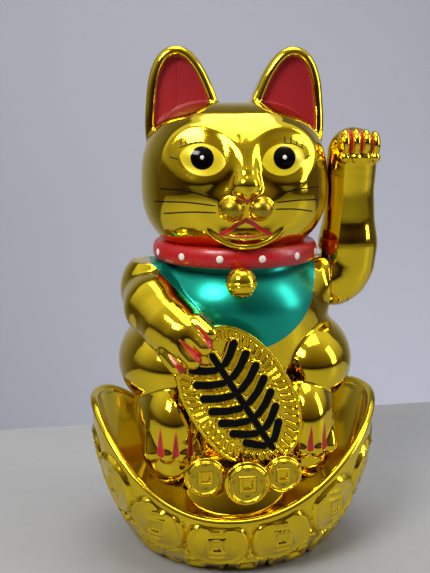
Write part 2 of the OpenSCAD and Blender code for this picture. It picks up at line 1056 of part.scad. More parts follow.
// Oval gold coin with a raised rim round a sunk field
module coin_tablet() {
    color(gold)
        difference() {
            at_tablet()
                translate([0, 0, -tablet_t])
                    difference() {
                        linear_extrude(tablet_t)
                            tablet_outline(tablet_a, tablet_b);
                        translate([0, 0, tablet_t - 1])
                            linear_extrude(2)
                                tablet_outline(tablet_a - 1.8, tablet_b - 1.8);
                    }
            // Its lower end is cut flat above the coins
            translate([-far, -far, tablet_foot_z - far])
                cube([2 * far, 2 * far, far]);
        }
}

coin_r = 8.4;
coin_t = 2.4;
coin_x = [-16.2, 12.9];
coin_z = 44;

module square_hole_coin(at) {
    translate(at)
        rotate([90, 0, 0])
            difference() {
                cylinder(h = coin_t, r = coin_r, $fn = 64);
                translate([0, 0, coin_t - 0.6])
                    difference() {
                        cylinder(h = 2, r = coin_r - 1.1, $fn = 64);
                        translate([-2.9, -2.9, -1])
                            cube([5.8, 5.8, 4]);
                    }
                translate([-1.9, -1.9, coin_t - 1.2])
                    cube([3.8, 3.8, 3]);
            }
}

// Three old-style coins with square holes, in front of the cat's feet
module front_coins() {
    color(gold) {
        for (x = coin_x)
            square_hole_coin([x, -44.9, coin_z]);
        square_hole_coin([-1.5, -47.4, coin_z - 1.6]);
    }
}

ingot_bowl();
seat_plate();
base_plate();
base_screws();
battery_door();
battery_cell();
negative_spring();
positive_contact();
switch_housing();
switch_knob();
movement_frame();
frame_screws();
shaft_bushes();
coil_bobbin();
drive_coil();
circuit_board();
board_posts();
drive_transistor();
capacitor();
resistor();
lead_red();
lead_black();
lead_switch();
arm_shaft();
shaft_clip();
pendulum_lever();
drive_magnet();
counterweight();
arm_end_cap();
arm_front_shell();
arm_rear_shell();
body_front_shell();
body_rear_shell();
head_front_shell();
head_rear_shell();
collar_ring();
bell();
coin_tablet();
front_coins();
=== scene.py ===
import math

import bmesh
import bpy
import numpy as np
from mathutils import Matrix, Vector


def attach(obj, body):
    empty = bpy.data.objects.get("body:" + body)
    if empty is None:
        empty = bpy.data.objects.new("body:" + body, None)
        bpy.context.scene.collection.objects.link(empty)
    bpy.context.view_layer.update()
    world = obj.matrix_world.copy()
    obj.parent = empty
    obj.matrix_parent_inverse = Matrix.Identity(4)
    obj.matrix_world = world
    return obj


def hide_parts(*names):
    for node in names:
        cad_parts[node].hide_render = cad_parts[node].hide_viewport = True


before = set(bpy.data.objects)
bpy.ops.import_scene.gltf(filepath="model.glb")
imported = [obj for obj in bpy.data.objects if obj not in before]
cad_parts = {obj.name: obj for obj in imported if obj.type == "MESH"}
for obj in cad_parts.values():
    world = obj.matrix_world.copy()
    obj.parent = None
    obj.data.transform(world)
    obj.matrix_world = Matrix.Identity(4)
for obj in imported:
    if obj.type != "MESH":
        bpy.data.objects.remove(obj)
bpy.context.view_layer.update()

MM = 0.001
SHARP_ANGLE = math.radians(42)
SEAM = 0.03  # from the seam plane to each half
SHELL, ARM_SHELL = 2.4, 1.7
BARE = 5.0  # a paint distance that leaves the surface bare
FAR = 50.0  # a distance that keeps a shape out of the way

# ---------------------------------------------------------------- fields, in millimetres


def vec(v):
    return np.asarray(v, float)


def size(p):
    """The length of each row."""
    return np.sqrt((p * p).sum(1))


def ellipsoid(p, c, r):
    """Nearly the distance to an ellipsoid about c, exact at its surface."""
    q = (p - vec(c)) / vec(r)
    k0, k1 = size(q), size(q / vec(r))
    return k0 * (k0 - 1) / np.maximum(k1, 1e-6)


def limb(p, a, ra, b, rb):
    """A round bar from a to b, which tapers from radius ra to rb."""
    a, b = vec(a), vec(b)
    d, along = p - a, b - a
    h = np.clip(d @ along / (along @ along), 0, 1)
    return size(d - h[:, None] * along) - (ra + (rb - ra) * h)


def smin(a, b, k):
    """Two shapes as one, blended where their distances differ by less than k."""
    h = np.maximum(k - np.abs(a - b), 0) / k
    return np.minimum(a, b) - h ** 3 * k / 6


def smax(a, b, k):
    """What two shapes share, with the edge blended in the same way."""
    return -smin(-a, -b, k)


def chain(p, points, radii):
    """A round rope through the points."""
    f = limb(p, points[0], radii[0], points[1], radii[1])
    for i in range(1, len(points) - 1):
        f = np.minimum(f, limb(p, points[i], radii[i], points[i + 1], radii[i + 1]))
    return f


def stretched(p, c, r, half):
    """An ellipsoid drawn out along X by half to each side."""
    q = p - vec(c)
    q[:, 0] = np.maximum(np.abs(q[:, 0]) - half, 0)
    return ellipsoid(q, (0, 0, 0), r)


def bump(p, x, z, a, b):
    """A soft bump on the front, 1 in the middle and 0 outside its ellipse."""
    t = 1 - ((p[:, 0] - x) / a) ** 2 - ((p[:, 2] - z) / b) ** 2
    return np.maximum(t, 0) ** 2 * (p[:, 1] < 0)


def segment(x, z, a, wa, b, wb):
    """Distance in a plane to a line that tapers from half width wa to wb."""
    ex, ez = b[0] - a[0], b[1] - a[1]
    h = np.clip(((x - a[0]) * ex + (z - a[1]) * ez) / (ex * ex + ez * ez), 0, 1)
    return np.hypot(x - a[0] - ex * h, z - a[1] - ez * h) - (wa + (wb - wa) * h)


def strokes(x, z, lines):
    """Distance to lines of several points, each with a half width that goes from w0 to w1."""
    f = np.full(len(x), FAR)
    for points, w0, w1 in lines:
        n = len(points) - 1
        for i in range(n):
            wa, wb = w0 + (w1 - w0) * i / n, w0 + (w1 - w0) * (i + 1) / n
            f = np.minimum(f, segment(x, z, points[i], wa, points[i + 1], wb))
    return f


def curve(points, n, closed=False):
    """A smooth line through the points, n steps between each two."""
    pts = [vec(q) for q in points]
    count = len(pts)
    out = []
    for i in range(count if closed else count - 1):
        if closed:
            p0, p1, p2, p3 = (pts[(i + k) % count] for k in (-1, 0, 1, 2))
        else:
            p1, p2 = pts[i], pts[i + 1]
            p0 = pts[i - 1] if i else 2 * p1 - p2
            p3 = pts[i + 2] if i + 2 < count else 2 * p2 - p1
        for k in range(n):
            t = k / n
            out.append(
                0.5 * (2 * p1 + (p2 - p0) * t + (2 * p0 - 5 * p1 + 4 * p2 - p3) * t * t
                       + (3 * p1 - p0 - 3 * p2 + p3) * t ** 3)
            )
    if not closed:
        out.append(pts[-1])
    return np.array(out)


def outline(x, z, pts):
    """Signed distance to a closed outline, negative inside."""
    best = np.full(len(x), 1e9)
    inside = np.zeros(len(x), bool)
    for (ax, az), (bx, bz) in zip(pts, np.roll(pts, -1, 0)):
        ex, ez = bx - ax, bz - az
        wx, wz = x - ax, z - az
        h = np.clip((wx * ex + wz * ez) / (ex * ex + ez * ez), 0, 1)
        best = np.minimum(best, (wx - ex * h) ** 2 + (wz - ez * h) ** 2)
        if abs(ez) > 1e-9:
            inside ^= ((az > z) != (bz > z)) & (x < ex * (z - az) / ez + ax)
    return np.where(inside, -1, 1) * np.sqrt(best)


# ---------------------------------------------------------------- meshes from fields


def skin(field, low, high, h):
    """Quads over the field's zero surface, from a grid that is fine only near it."""
    low = vec(low)
    step = 4
    n = np.ceil((vec(high) - low) / (step * h)).astype(int) * step
    axes = [low[i] + step * h * (np.arange(n[i] // step) + 0.5) for i in range(3)]
    centres = np.stack(np.meshgrid(*axes, indexing="ij"), -1).reshape(-1, 3)
    coarse = field(centres).reshape(n // step)
    grid = coarse.repeat(step, 0).repeat(step, 1).repeat(step, 2)
    grid = np.pad(grid, ((0, 1),) * 3, mode="edge")
    need = np.zeros(n + 1, bool)
    for i, j, k in np.argwhere(np.abs(coarse) < 6 * h) * step:
        need[i:i + step + 1, j:j + step + 1, k:k + step + 1] = True
    grid[need] = field(low + np.argwhere(need) * h)
    inside = grid < 0
    corners = [(i, j, k) for i in (0, 1) for j in (0, 1) for k in (0, 1)]

    def shifted(a, c):
        return a[c[0]:n[0] + c[0], c[1]:n[1] + c[1], c[2]:n[2] + c[2]]

    count = sum(shifted(inside, c).astype(np.int8) for c in corners)
    cells = (count > 0) & (count < 8)
    ids = np.argwhere(cells)
    index = np.full(n, -1, np.int64)
    index[cells] = np.arange(len(ids))
    values = {c: grid[tuple((ids + c).T)] for c in corners}
    total, hits = np.zeros((len(ids), 3)), np.zeros(len(ids))
    for c in corners:
        for axis in range(3):
            if c[axis]:
                continue
            d = tuple(1 if a == axis else c[a] for a in range(3))
            va, vb = values[c], values[d]
            cross = (va < 0) != (vb < 0)
            t = va[cross] / (va[cross] - vb[cross])
            total[cross] += vec(c) + t[:, None] * (vec(d) - vec(c))
            hits[cross] += 1
    verts = low + (ids + total / hits[:, None]) * h
    faces = []
    for axis in range(3):
        u, w = (axis + 1) % 3, (axis + 2) % 3
        near = [slice(1, n[a]) for a in range(3)]
        near[axis] = slice(0, n[axis])
        far = list(near)
        far[axis] = slice(1, n[axis] + 1)
        a, b = inside[tuple(near)], inside[tuple(far)]
        where = np.argwhere(a != b)
        out = a[a != b]
        where += [0 if k == axis else 1 for k in range(3)]
        eu, ew = np.eye(3, dtype=int)[u], np.eye(3, dtype=int)[w]
        loop = [index[tuple((where + s).T)] for s in (-eu - ew, -ew, 0 * eu, -eu)]
        quad = np.stack(loop, 1)
        quad[~out] = quad[~out][:, ::-1]
        faces.append(quad)
    return settle(field, verts, h, 3), np.concatenate(faces)


def slope(field, p, e=0.02):
    """The field's gradient at the points."""
    return np.stack([(field(p + d) - field(p - d)) / (2 * e) for d in np.eye(3) * e], 1)


def settle(field, p, h, rounds):
    """Moves points onto the field's zero surface."""
    for _ in range(rounds):
        f, g = field(p), slope(field, p)
        move = (f / np.maximum((g * g).sum(1), 0.1))[:, None] * g
        reach = np.maximum(size(move), 1e-9)
        p = p - move * np.minimum(1, 0.5 * h / reach)[:, None]
    return p


def land(field, p, direction):
    """Where rays from the points first meet the surface."""
    p = vec(p).copy()
    for _ in range(90):
        p += np.outer(np.clip(field(p) * 0.7, -0.5, 4), direction)
    return p


def new_object(name, mesh, material, body, replaces, paints):
    """A piece that rides on a body; each paint is stored as a distance to its edge."""
    if paints:
        co = np.zeros(len(mesh.vertices) * 3, np.float32)
        mesh.vertices.foreach_get("co", co)
        p = co.reshape(-1, 3).astype(float) / MM
        for key, rule in paints.items():
            layer = mesh.attributes.new(key, "FLOAT", "POINT")
            layer.data.foreach_set("value", rule(p).astype(np.float32))
    mesh.materials.append(material)
    made = bpy.data.objects.new(name, mesh)
    bpy.context.scene.collection.objects.link(made)
    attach(made, body)
    if replaces:
        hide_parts(*replaces)


def to_mesh(name, verts, faces):
    """A smooth-shaded mesh in metres, from points in millimetres."""
    mesh = bpy.data.meshes.new(name)
    mesh.from_pydata((vec(verts) * MM).tolist(), [], [list(map(int, f)) for f in faces])
    mesh.polygons.foreach_set("use_smooth", [True] * len(mesh.polygons))
    mesh.update()
    return mesh


def solid(name, verts, faces, material, slot="gold_plating", replaces=(), paints=None):
    """A closed piece of the figure, its faces turned outwards and its corners kept sharp."""
    mesh = to_mesh(name, verts, faces)
    bm = bmesh.new()
    bm.from_mesh(mesh)
    bmesh.ops.recalc_face_normals(bm, faces=bm.faces)
    bm.to_mesh(mesh)
    bm.free()
    mesh.set_sharp_from_angle(angle=SHARP_ANGLE)
    new_object(name, mesh, material, "figure", replaces, paints)


def halves(stem, field, box, h, material, body, paints):
    """A shell meshed from its field and parted at the seam plane y = 0 into front and rear."""
    verts, faces = skin(field, *box, h)
    whole = to_mesh(stem, verts, faces)
    for part, side in (("front", -1), ("rear", 1)):
        bm = bmesh.new()
        bm.from_mesh(whole)
        cut = bmesh.ops.bisect_plane(
            bm, geom=bm.verts[:] + bm.edges[:] + bm.faces[:], dist=1e-8,
            plane_co=(0, side * SEAM * MM, 0), plane_no=(0, -side, 0), clear_outer=True,
        )
        rim = [e for e in cut["geom_cut"] if isinstance(e, bmesh.types.BMEdge)]
        made = bmesh.ops.triangle_fill(bm, use_beauty=False, edges=rim, normal=(0, -side, 0))
        for g in made["geom"]:
            if isinstance(g, bmesh.types.BMFace):
                g.smooth = False
        name = f"{stem}_{part}"
        mesh = bpy.data.meshes.new(name)
        bm.to_mesh(mesh)
        bm.free()
        new_object(name, mesh, material, body, (f"{stem}_{part}_shell",), paints)
    bpy.data.meshes.remove(whole)


def loft(rings):
    """Quads between rings of equal length, with the last joined to the first."""
    rings = vec(rings)
    n, m = rings.shape[:2]
    i, j = np.meshgrid(np.arange(n), np.arange(m), indexing="ij")
    a = i * m + j
    b = ((i + 1) % n) * m + j
    c = ((i + 1) % n) * m + (j + 1) % m
    d = i * m + (j + 1) % m
    return rings.reshape(-1, 3), np.stack([a, b, c, d], -1).reshape(-1, 4)


def joined(parts):
    """Several meshes as one."""
    verts, faces, base = [], [], 0
    for v, f in parts:
        verts.append(v)
        faces += [[base + k for k in face] for face in f]
        base += len(v)
    return np.concatenate(verts), faces


# ---------------------------------------------------------------- materials


WAVE_SCALE = 55.0


class Finish:
    """A procedural material: noise varies its colour, roughness and surface."""

    def __init__(self, name, colour, metallic=0.0, rough=0.4, grain=400.0, vary=0.15,
                 relief=0.02, coat=0.0, waves=0.0, spread=0.3):
        self.mat = bpy.data.materials.new(name)
        self.mat.use_nodes = True
        self.tree = self.mat.node_tree
        self.shader = self.tree.nodes["Principled BSDF"]
        place = self.add("ShaderNodeTexCoord").outputs["Object"]
        fine = self.noise(place, grain, 3)
        broad = self.noise(place, grain / 9, 2)
        dark = [c * (1 - vary) for c in colour]
        self.colour = self.blend(broad, dark, colour)
        self.rough = self.ramp(fine, 0.3, 0.7, rough * (1 - spread), rough * (1 + spread))
        self.metallic = metallic
        if coat:
            self.shader.inputs["Coat Weight"].default_value = coat
            self.shader.inputs["Coat Roughness"].default_value = 0.05
        height = self.add("ShaderNodeBump")
        height.inputs["Strength"].default_value = 1.0
        height.inputs["Distance"].default_value = relief * MM
        self.link(fine, height.inputs["Height"])
        if waves:
            swell = self.add("ShaderNodeBump")
            swell.inputs["Distance"].default_value = waves * MM
            self.link(self.noise(place, WAVE_SCALE, 1), swell.inputs["Height"])
            self.link(swell.outputs["Normal"], height.inputs["Normal"])
        self.link(height.outputs["Normal"], self.shader.inputs["Normal"])

    def add(self, kind):
        return self.tree.nodes.new(kind)

    def link(self, a, b):
        self.tree.links.new(a, b)

    def noise(self, place, scale, detail):
        made = self.add("ShaderNodeTexNoise")
        made.inputs["Scale"].default_value = scale
        made.inputs["Detail"].default_value = detail
        self.link(place, made.inputs["Vector"])
        return made.outputs["Fac"]

    def ramp(self, value, a, b, to_a, to_b):
        made = self.add("ShaderNodeMapRange")
        for key, number in zip(("From Min", "From Max", "To Min", "To Max"), (a, b, to_a, to_b)):
            made.inputs[key].default_value = number
        self.link(value, made.inputs["Value"])
        return made.outputs["Result"]

    def blend(self, factor, a, b, kind="RGBA"):
        made = self.add("ShaderNodeMix")
        made.data_type = kind
        first, out = (6, 2) if kind == "RGBA" else (2, 0)
        self.link(factor, made.inputs[0])
        for socket, value in ((made.inputs[first], a), (made.inputs[first + 1], b)):
            if isinstance(value, bpy.types.NodeSocket):
                self.link(value, socket)
            elif kind == "RGBA":
                socket.default_value = (*value, 1)
            else:
                socket.default_value = value
        return made.outputs[out]

    def paint(self, layer, edge, colour, metallic, rough):
        """Lays a coat where the mesh layer is below 0, with an edge that wide in mm."""
        found = self.add("ShaderNodeAttribute")
        found.attribute_name = layer
        cover = self.ramp(found.outputs["Fac"], -edge / 2, edge / 2, 1.0, 0.0)
        self.colour = self.blend(cover, self.colour, colour)
        self.rough = self.blend(cover, self.rough, rough, "FLOAT")
        self.metallic = self.blend(cover, self.metallic, metallic, "FLOAT")
        return self

    def done(self):
        self.link(self.colour, self.shader.inputs["Base Color"])
        self.link(self.rough, self.shader.inputs["Roughness"])
        if isinstance(self.metallic, bpy.types.NodeSocket):
            self.link(self.metallic, self.shader.inputs["Metallic"])
        else:
            self.shader.inputs["Metallic"].default_value = self.metallic
        return self.mat


GOLD = dict(colour=(0.86, 0.62, 0.022), metallic=1.0, rough=0.085, grain=900.0, vary=0.10,
            relief=0.002, waves=0.10)
RED = (0.42, 0.012, 0.014)
TEAL = (0.004, 0.34, 0.25)
EAR_RED = (0.29, 0.006, 0.014)
YELLOW = (0.72, 0.57, 0.010)
BLACK = (0.003, 0.0028, 0.0025)
WHITE = (0.82, 0.80, 0.76)


def gold(name, **changes):
    return Finish(name, **{**GOLD, **changes})


gold_plain = gold("gold_plating").done()
gold_head = (
    gold("gold_head")
    .paint("ear", 0.9, EAR_RED, 0.0, 0.42)
    .paint("eye", 0.25, YELLOW, 0.25, 0.30)
    .paint("pupil", 0.18, BLACK, 0.6, 0.12)
    # painted dark reflection on the nose pads: a darker gold, with a rougher surface
    .paint("pad", 0.8, (0.42, 0.29, 0.02), 1.0, 0.34)
    .paint("red", 0.25, RED, 0.0, 0.28)
    .done()
)
gold_body = gold("gold_body").paint("bib", 0.3, TEAL, 0.75, 0.30).paint("red", 0.3, RED, 0.0, 0.28).done()
gold_arm = gold("gold_arm").paint("red", 0.3, RED, 0.0, 0.28).done()
gold_tablet = gold("gold_tablet", waves=0.04).paint("ink", 0.2, BLACK, 0.8, 0.40).done()
gold_coin = (
    gold("gold_coin", rough=0.12, relief=0.01, grain=1400.0, waves=0.02)
    # painted shade in the coins' sunken field: a darker gold, with a rougher surface
    .paint("field", 0.3, (0.62, 0.45, 0.03), 1.0, 0.36)
    .done()
)
gold_ingot = gold("gold_ingot", rough=0.12, waves=0.05).done()
red_gloss = Finish("red_enamel", (0.46, 0.006, 0.010), rough=0.34, coat=0.10, grain=500.0).done()
white_paint = Finish("white_paint", WHITE, rough=0.35, grain=800.0).done()
black_paint = Finish("black_paint", BLACK, metallic=0.8, rough=0.45, grain=900.0).done()

# ---------------------------------------------------------------- collar zone, shared by head and body

NECK = vec((0, -2, 124.7))
NECK_BORE = 23
COLLAR_IN, COLLAR_OUT, COLLAR_H, COLLAR_EDGE = 27.0, 33.5, 7.6, 1.8
COLLAR_GAP, NECK_GAP = 0.1, 0.12  # inside the collar, and above and below it


def from_neck(p):
    """Distance from the neck's axis, and height above the middle of the neck."""
    return np.hypot(p[:, 0] - NECK[0], p[:, 1] - NECK[1]), p[:, 2] - NECK[2]


def collar_zone(p):
    """The groove for the collar."""
    r, z = from_neck(p)
    return np.maximum(np.abs(z) - COLLAR_H / 2 - NECK_GAP, COLLAR_IN - COLLAR_GAP - r)


# ---------------------------------------------------------------- head

HEAD_TURN = math.radians(2.4)
EAR = curve([
    (32.0, 160), (35.0, 166), (35.9, 174), (35.3, 184), (34.2, 192.5), (31.6, 199.4), (27.9, 203.4),
    (23.2, 204.8), (18.9, 203.5), (15.3, 200.3), (11.8, 195.2), (9.0, 189.2), (6.6, 183), (4.7, 176),
    (4.4, 165),
], 4, closed=True)
EAR_Y, EAR_HALF, EAR_FLOOR = 3.0, 7.0, -1.0
EYE = (15.0, 161.5)
PUPIL, PUPIL_R = (15.2, 162.1), 4.25
EYE_TILT = math.radians(9.5)
SOCKET = (15.8, 163.2, 12.7, 10.2)
NOSE_X = 0.7


def turned(p):
    """The head's own axes: it is turned a little to its right."""
    c, s = math.cos(HEAD_TURN), math.sin(HEAD_TURN)
    return np.stack([p[:, 0] * c - p[:, 1] * s, p[:, 0] * s + p[:, 1] * c, p[:, 2]], 1)


def folded(p):
    """Both sides laid on the one where X is positive."""
    return np.stack([np.abs(p[:, 0]), p[:, 1], p[:, 2]], 1)


def head_mass(q):
    high = stretched(q, (-0.5, -3, 157), (25.9, 32, 26), 11)
    low = stretched(q, (-0.5, -4, 147), (24.4, 31, 24), 12.5)
    return smin(high, low, 5)


def ears(m):
    f = np.full(len(m), FAR)
    k = m[:, 2] > 160
    q = m[k]
    d = outline(q[:, 0], q[:, 2], EAR)
    r = 2.6
    a, b = d + r, np.abs(q[:, 1] - EAR_Y) - EAR_HALF + r
    body = np.minimum(np.maximum(a, b), 0) + np.hypot(np.maximum(a, 0), np.maximum(b, 0)) - r
    hollow = np.maximum(d + 3.5, q[:, 1] - EAR_FLOOR)
    f[k] = smax(body, -hollow, 1.6)
    return f


def eye_axes(m):
    """Along and across the eye's slit, seen from the front."""
    c, s = math.cos(EYE_TILT), math.sin(EYE_TILT)
    x, z = m[:, 0] - EYE[0], m[:, 2] - EYE[1]
    return x * c + z * s, -x * s + z * c


def eyeball(m):
    c, s = math.cos(math.radians(15)), math.sin(math.radians(15))
    x, z = eye_axes(m)
    y = m[:, 1] + 27.0
    return ellipsoid(np.stack([x * c + y * s, -x * s + y * c, z], 1), (0, 0, 0), (9.6, 6.4, 6.2))


def rope(p, points, r0, r1):
    """A smooth round ridge through the points, thinner towards its end."""
    path = curve(points, 4)
    return chain(p, path, np.linspace(r0, r1, len(path)))


def face(q, m, f):
    """The front of the head; q is in the head's axes, and m is q folded."""
    sx, sz, sa, sb = SOCKET
    ring = np.hypot((m[:, 0] - sx) / sa, (m[:, 2] - sz) / sb)
    dip = np.clip(1 - ring ** 2, 0, 1) ** 1.5
    high = np.clip(0.35 + (m[:, 2] - 158) / 12, 0.2, 1)
    f = f + 1.5 * dip - 0.55 * high * np.exp(-((ring - 1.04) / 0.17) ** 2)
    f = smin(f, limb(q, (0.3, -28.0, 168), 3.6, (NOSE_X, -36.2, 156), 4.0), 6)
    f = smin(f, eyeball(m), 2.2)
    n = q - vec((NOSE_X, 0, 0))
    k = folded(n)
    f = smin(f, ellipsoid(n, (0, -37.6, 152.4), (5.2, 4.8, 4.4)), 2.4)
    f = smin(f, limb(n, (0, -39.2, 150), 3.0, (0, -39.2, 147.6), 1.2), 1.2)
    f = smin(f, ellipsoid(n, (0, -25.0, 136), (17.5, 11.0, 9.0)), 6)
    f = f + 1.3 * bump(n, 0, 137.2, 11.5, 5.0)
    f = smin(f, rope(k, [(0, -35.6, 133.0), (4.5, -35.0, 133.2), (9.2, -33.2, 134.4)], 1.5, 0.8), 1.6)
    f = smin(f, rope(k, [(0, -36.6, 129.6), (5, -35.8, 130.2), (11.3, -33.6, 133.0), (16.4, -30.2, 138.2)],
                     1.1, 0.8), 2.0)
    f = smin(f, ellipsoid(n, (0, -31.6, 146), (12.5, 6.6, 8.0)), 5)
    return smin(f, ellipsoid(k, (5.2, -35.9, 143.8), (4.9, 5.3, 4.4)), 1.0)


def head_outer(p):
    q = turned(p)
    m = folded(q)
    f = smin(head_mass(q), ears(m), 2.0)
    k = (q[:, 1] < -8) & (q[:, 2] < 180) & (np.abs(f) < 14)
    f[k] = face(q[k], m[k], f[k])
    return f


def head(p):
    r, z = from_neck(p)
    outer = head_outer(p)
    neck = np.maximum(r - COLLAR_IN + COLLAR_GAP, z - 9)
    outer = smin(outer, neck, 1.5)
    hollow = smin(head_mass(turned(p)) + SHELL, np.maximum(r - NECK_BORE, z - 8), 3)
    outer = np.maximum(outer, -collar_zone(p))
    outer = np.maximum(outer, NECK_GAP - z)
    return np.maximum(outer, -hollow)


def ear_paint(p):
    m = folded(turned(p))
    f = np.full(len(p), BARE)
    k = m[:, 2] > 160
    d = outline(m[k, 0], m[k, 2], EAR)
    f[k] = np.maximum(np.maximum(d + 3.2, EAR_FLOOR - 1.3 - m[k, 1]), m[k, 1] - EAR_FLOOR - 1)
    return f


def eye_paint(p):
    m = folded(turned(p))
    x, z = eye_axes(m)
    up = np.hypot(x / 8.6, (z + 1.4) / 7.2) - 1
    down = np.hypot(x / 8.6, (z - 1.4) / 7.2) - 1
    return np.where(m[:, 1] < 0, np.maximum(up, down) * 6, BARE)


def pad_dark_reflection(p):
    """The pads under the nose: a rougher grained surface, and a darker gold that is a painted dark
    reflection.
    """
    m = folded(turned(p) - vec((NOSE_X, 0, 0)))
    r = np.hypot((m[:, 0] - 5.4) / 4.1, (m[:, 2] - 144.0) / 3.5) - 1
    return np.where(m[:, 1] < -33, r * 4, BARE)


def pupil_paint(p):
    m = folded(turned(p))
    return np.where(m[:, 1] < 0, np.hypot(m[:, 0] - PUPIL[0], m[:, 2] - PUPIL[1]) - PUPIL_R, BARE)


FACE_RED = [
    ([(0, 146.9), (2.2, 148.0), (4.9, 149.8)], 0.62, 0.35),
    ([(0, 139.6), (2.6, 138.2), (5.4, 136.2), (9.4, 134.2)], 0.95, 0.75),
    ([(9.4, 134.0), (5, 133.5), (0, 133.4)], 0.30, 0.35),
]


def face_red(p):
    m = folded(turned(p) - vec((NOSE_X, 0, 0)))
    return np.where(m[:, 1] < -25, strokes(m[:, 0], m[:, 2], FACE_RED), BARE)


halves("head", head, ((-40, -46, 122), (40, 33, 208)), 0.5, gold_head, "figure",
       {"ear": ear_paint, "eye": eye_paint, "pupil": pupil_paint, "pad": pad_dark_reflection, "red": face_red})

# ---------------------------------------------------------------- body

DECK_Z = 22.0
HAUNCH = (28, -4, 79.5)
SHAFT_Z = 110.0
BODY_FACE = 38.0
FEET = (-27.8, 24.1)
TOE_PITCH = 5.7
FINGERS = [
    ((-19.6, -42.2, 102.8), (-15.6, -46.0, 99.4)),
    ((-22.6, -43.6, 99.6), (-17.6, -47.6, 94.8)),
    ((-26.6, -43.6, 95.0), (-21.8, -47.6, 90.0)),
    ((-30.6, -41.8, 91.2), (-27.2, -45.6, 87.4)),
]
PAW_RED = [
    ([(-20.2, 103.0), (-15.0, 96.0)], 0.3, 1.45),
    ([(-26.6, 97.8), (-18.6, 90.2)], 0.3, 1.45),
    ([(-30.2, 91.8), (-25.6, 86.4)], 0.3, 1.3),
]
BIB_LEFT = ((-42.0, 127.2), (-12.7, 100.6))


def from_shaft(p):
    """Distance from the arm shaft's axis."""
    return np.hypot(p[:, 1], p[:, 2] - SHAFT_Z)


def skirt(p, inset):
    """The foot of the body, which narrows upwards from the deck of the ingot."""
    t = np.clip((p[:, 2] - DECK_Z) / 16, 0, 1) ** 1.5
    q = np.stack([p[:, 0] / (40 - 9 * t - inset), p[:, 1] / (44.6 - 5 * t - inset)], 1)
    return np.maximum((size(q) - 1) * 40, p[:, 2] - 38 + inset)


def torso(p, inset=0.0):
    f = ellipsoid(p, (0, 0, 93), (39.5, 34, 40))
    f = smin(f, ellipsoid(p, (0, -8, 103), (32, 28, 22)), 6)
    f = smin(f, ellipsoid(p, (0, 3, 88), (35.5, 33.5, 38)), 8)
    f = smin(f, ellipsoid(p, (0, 2, 56), (40.5, 36, 34)), 10) + inset
    return smin(f, skirt(p, inset), 4)


def paw(p):
    """The resting arm and its paw, on the tablet's corner."""
    f = limb(p, (-34.4, -9, 108.2), 11.6, (-33.6, -21, 104.8), 11.4)
    f = smin(f, limb(p, (-33.6, -21, 104.8), 11.4, (-28.6, -32.0, 99.8), 10.2), 6)
    f = smin(f, limb(p, (-28.6, -32.0, 99.8), 10.4, (-24.4, -37.2, 96.8), 10.4), 6)
    fingers = limb(p, FINGERS[0][0], 3.4, FINGERS[0][1], 3.2)
    for a, b in FINGERS[1:]:
        fingers = smin(fingers, limb(p, a, 3.6, b, 3.3), 0.6)
    return smin(f, fingers, 2.2)


def leg(p, x):
    f = ellipsoid(p, (x, -13, 60), (15, 29, 21.5))
    f = smin(f, ellipsoid(p, (x, -26, 47), (11.5, 13.5, 13)), 5)
    toes = np.full(len(p), FAR)
    for i in range(4):
        tx = x + (i - 1.5) * TOE_PITCH
        back = 2.2 if i in (0, 3) else 0
        toes = smin(toes, limb(p, (tx, -35.2 + back, 59.5), 2.6, (tx, -38.4 + back, 51), 3.2), 0.6)
    return smin(f, toes, 2.6)


def body(p):
    r, z = from_neck(p)
    m = folded(p)
    f = torso(p)
    for x in FEET:
        f = smin(f, leg(p, x), 2.5)
    f = smin(f, ellipsoid(m, HAUNCH, (20.3, 30, 19.5)), 1.6)
    f = smin(f, ellipsoid(p, (-6, -21, 72), (21, 19.3, 26)), 4)
    f = smin(f, ellipsoid(p, (-33.8, -5, 109.0), (13.2, 15.5, 15.5)), 5)
    f = smin(f, ellipsoid(p, (27, -2, 107), (14, 15, 16)), 5)
    across = from_shaft(p)
    f = smin(f, np.maximum(across - 12.6, 10 - p[:, 0]), 2.5)
    f = smin(f, paw(p), 1.4)
    f = smin(f, np.maximum(r - COLLAR_IN + COLLAR_GAP, np.abs(z + 10) - 10), 1.5)
    f = np.maximum(f, -np.maximum(across - 15, BODY_FACE - p[:, 0]))
    f = np.maximum(f, -np.maximum(across - 2.7, 30 - p[:, 0]))
    f = np.maximum(f, -collar_zone(p))
    f = np.maximum(f, np.maximum(z + NECK_GAP, DECK_Z - p[:, 2]))
    f = np.maximum(f, -tablet_room(p))
    hollow = smin(torso(p, SHELL), np.maximum(r - NECK_BORE, np.abs(z + 5) - 14), 3)
    hollow = smin(hollow, np.maximum(across - 10.4, np.abs(p[:, 0] - 28) - 8), 2)
    hollow = np.minimum(hollow, np.maximum(skirt(p, SHELL), np.abs(p[:, 2] - 24) - 8))
    return np.maximum(f, -hollow)


def bib_paint(p):
    """An ellipse on the front, cut off along a straight line at its left."""
    x, z = p[:, 0], p[:, 2]
    curve_edge = (np.hypot((x + 1.6) / np.where(x < 0, 41, 33), (z - 121) / 32) - 1) * 30
    (ax, az), (bx, bz) = BIB_LEFT
    ex, ez = bx - ax, bz - az
    left = ((x - ax) * ez - (z - az) * ex) / math.hypot(ex, ez)
    return np.maximum(np.maximum(curve_edge, left), p[:, 1] - 4)


def body_red(p):
    x, z = p[:, 0], p[:, 2]
    f = np.where(p[:, 1] < -38, strokes(x, z, PAW_RED), BARE)
    toes = [([(fx + i * TOE_PITCH, 62.4), (fx + i * TOE_PITCH, 51.6)], 0.1, 1.35)
            for fx in FEET for i in (-1, 0, 1)]
    return np.where((z < 70) & (p[:, 1] < -30), strokes(x, z, toes), f)


# ---------------------------------------------------------------- tablet

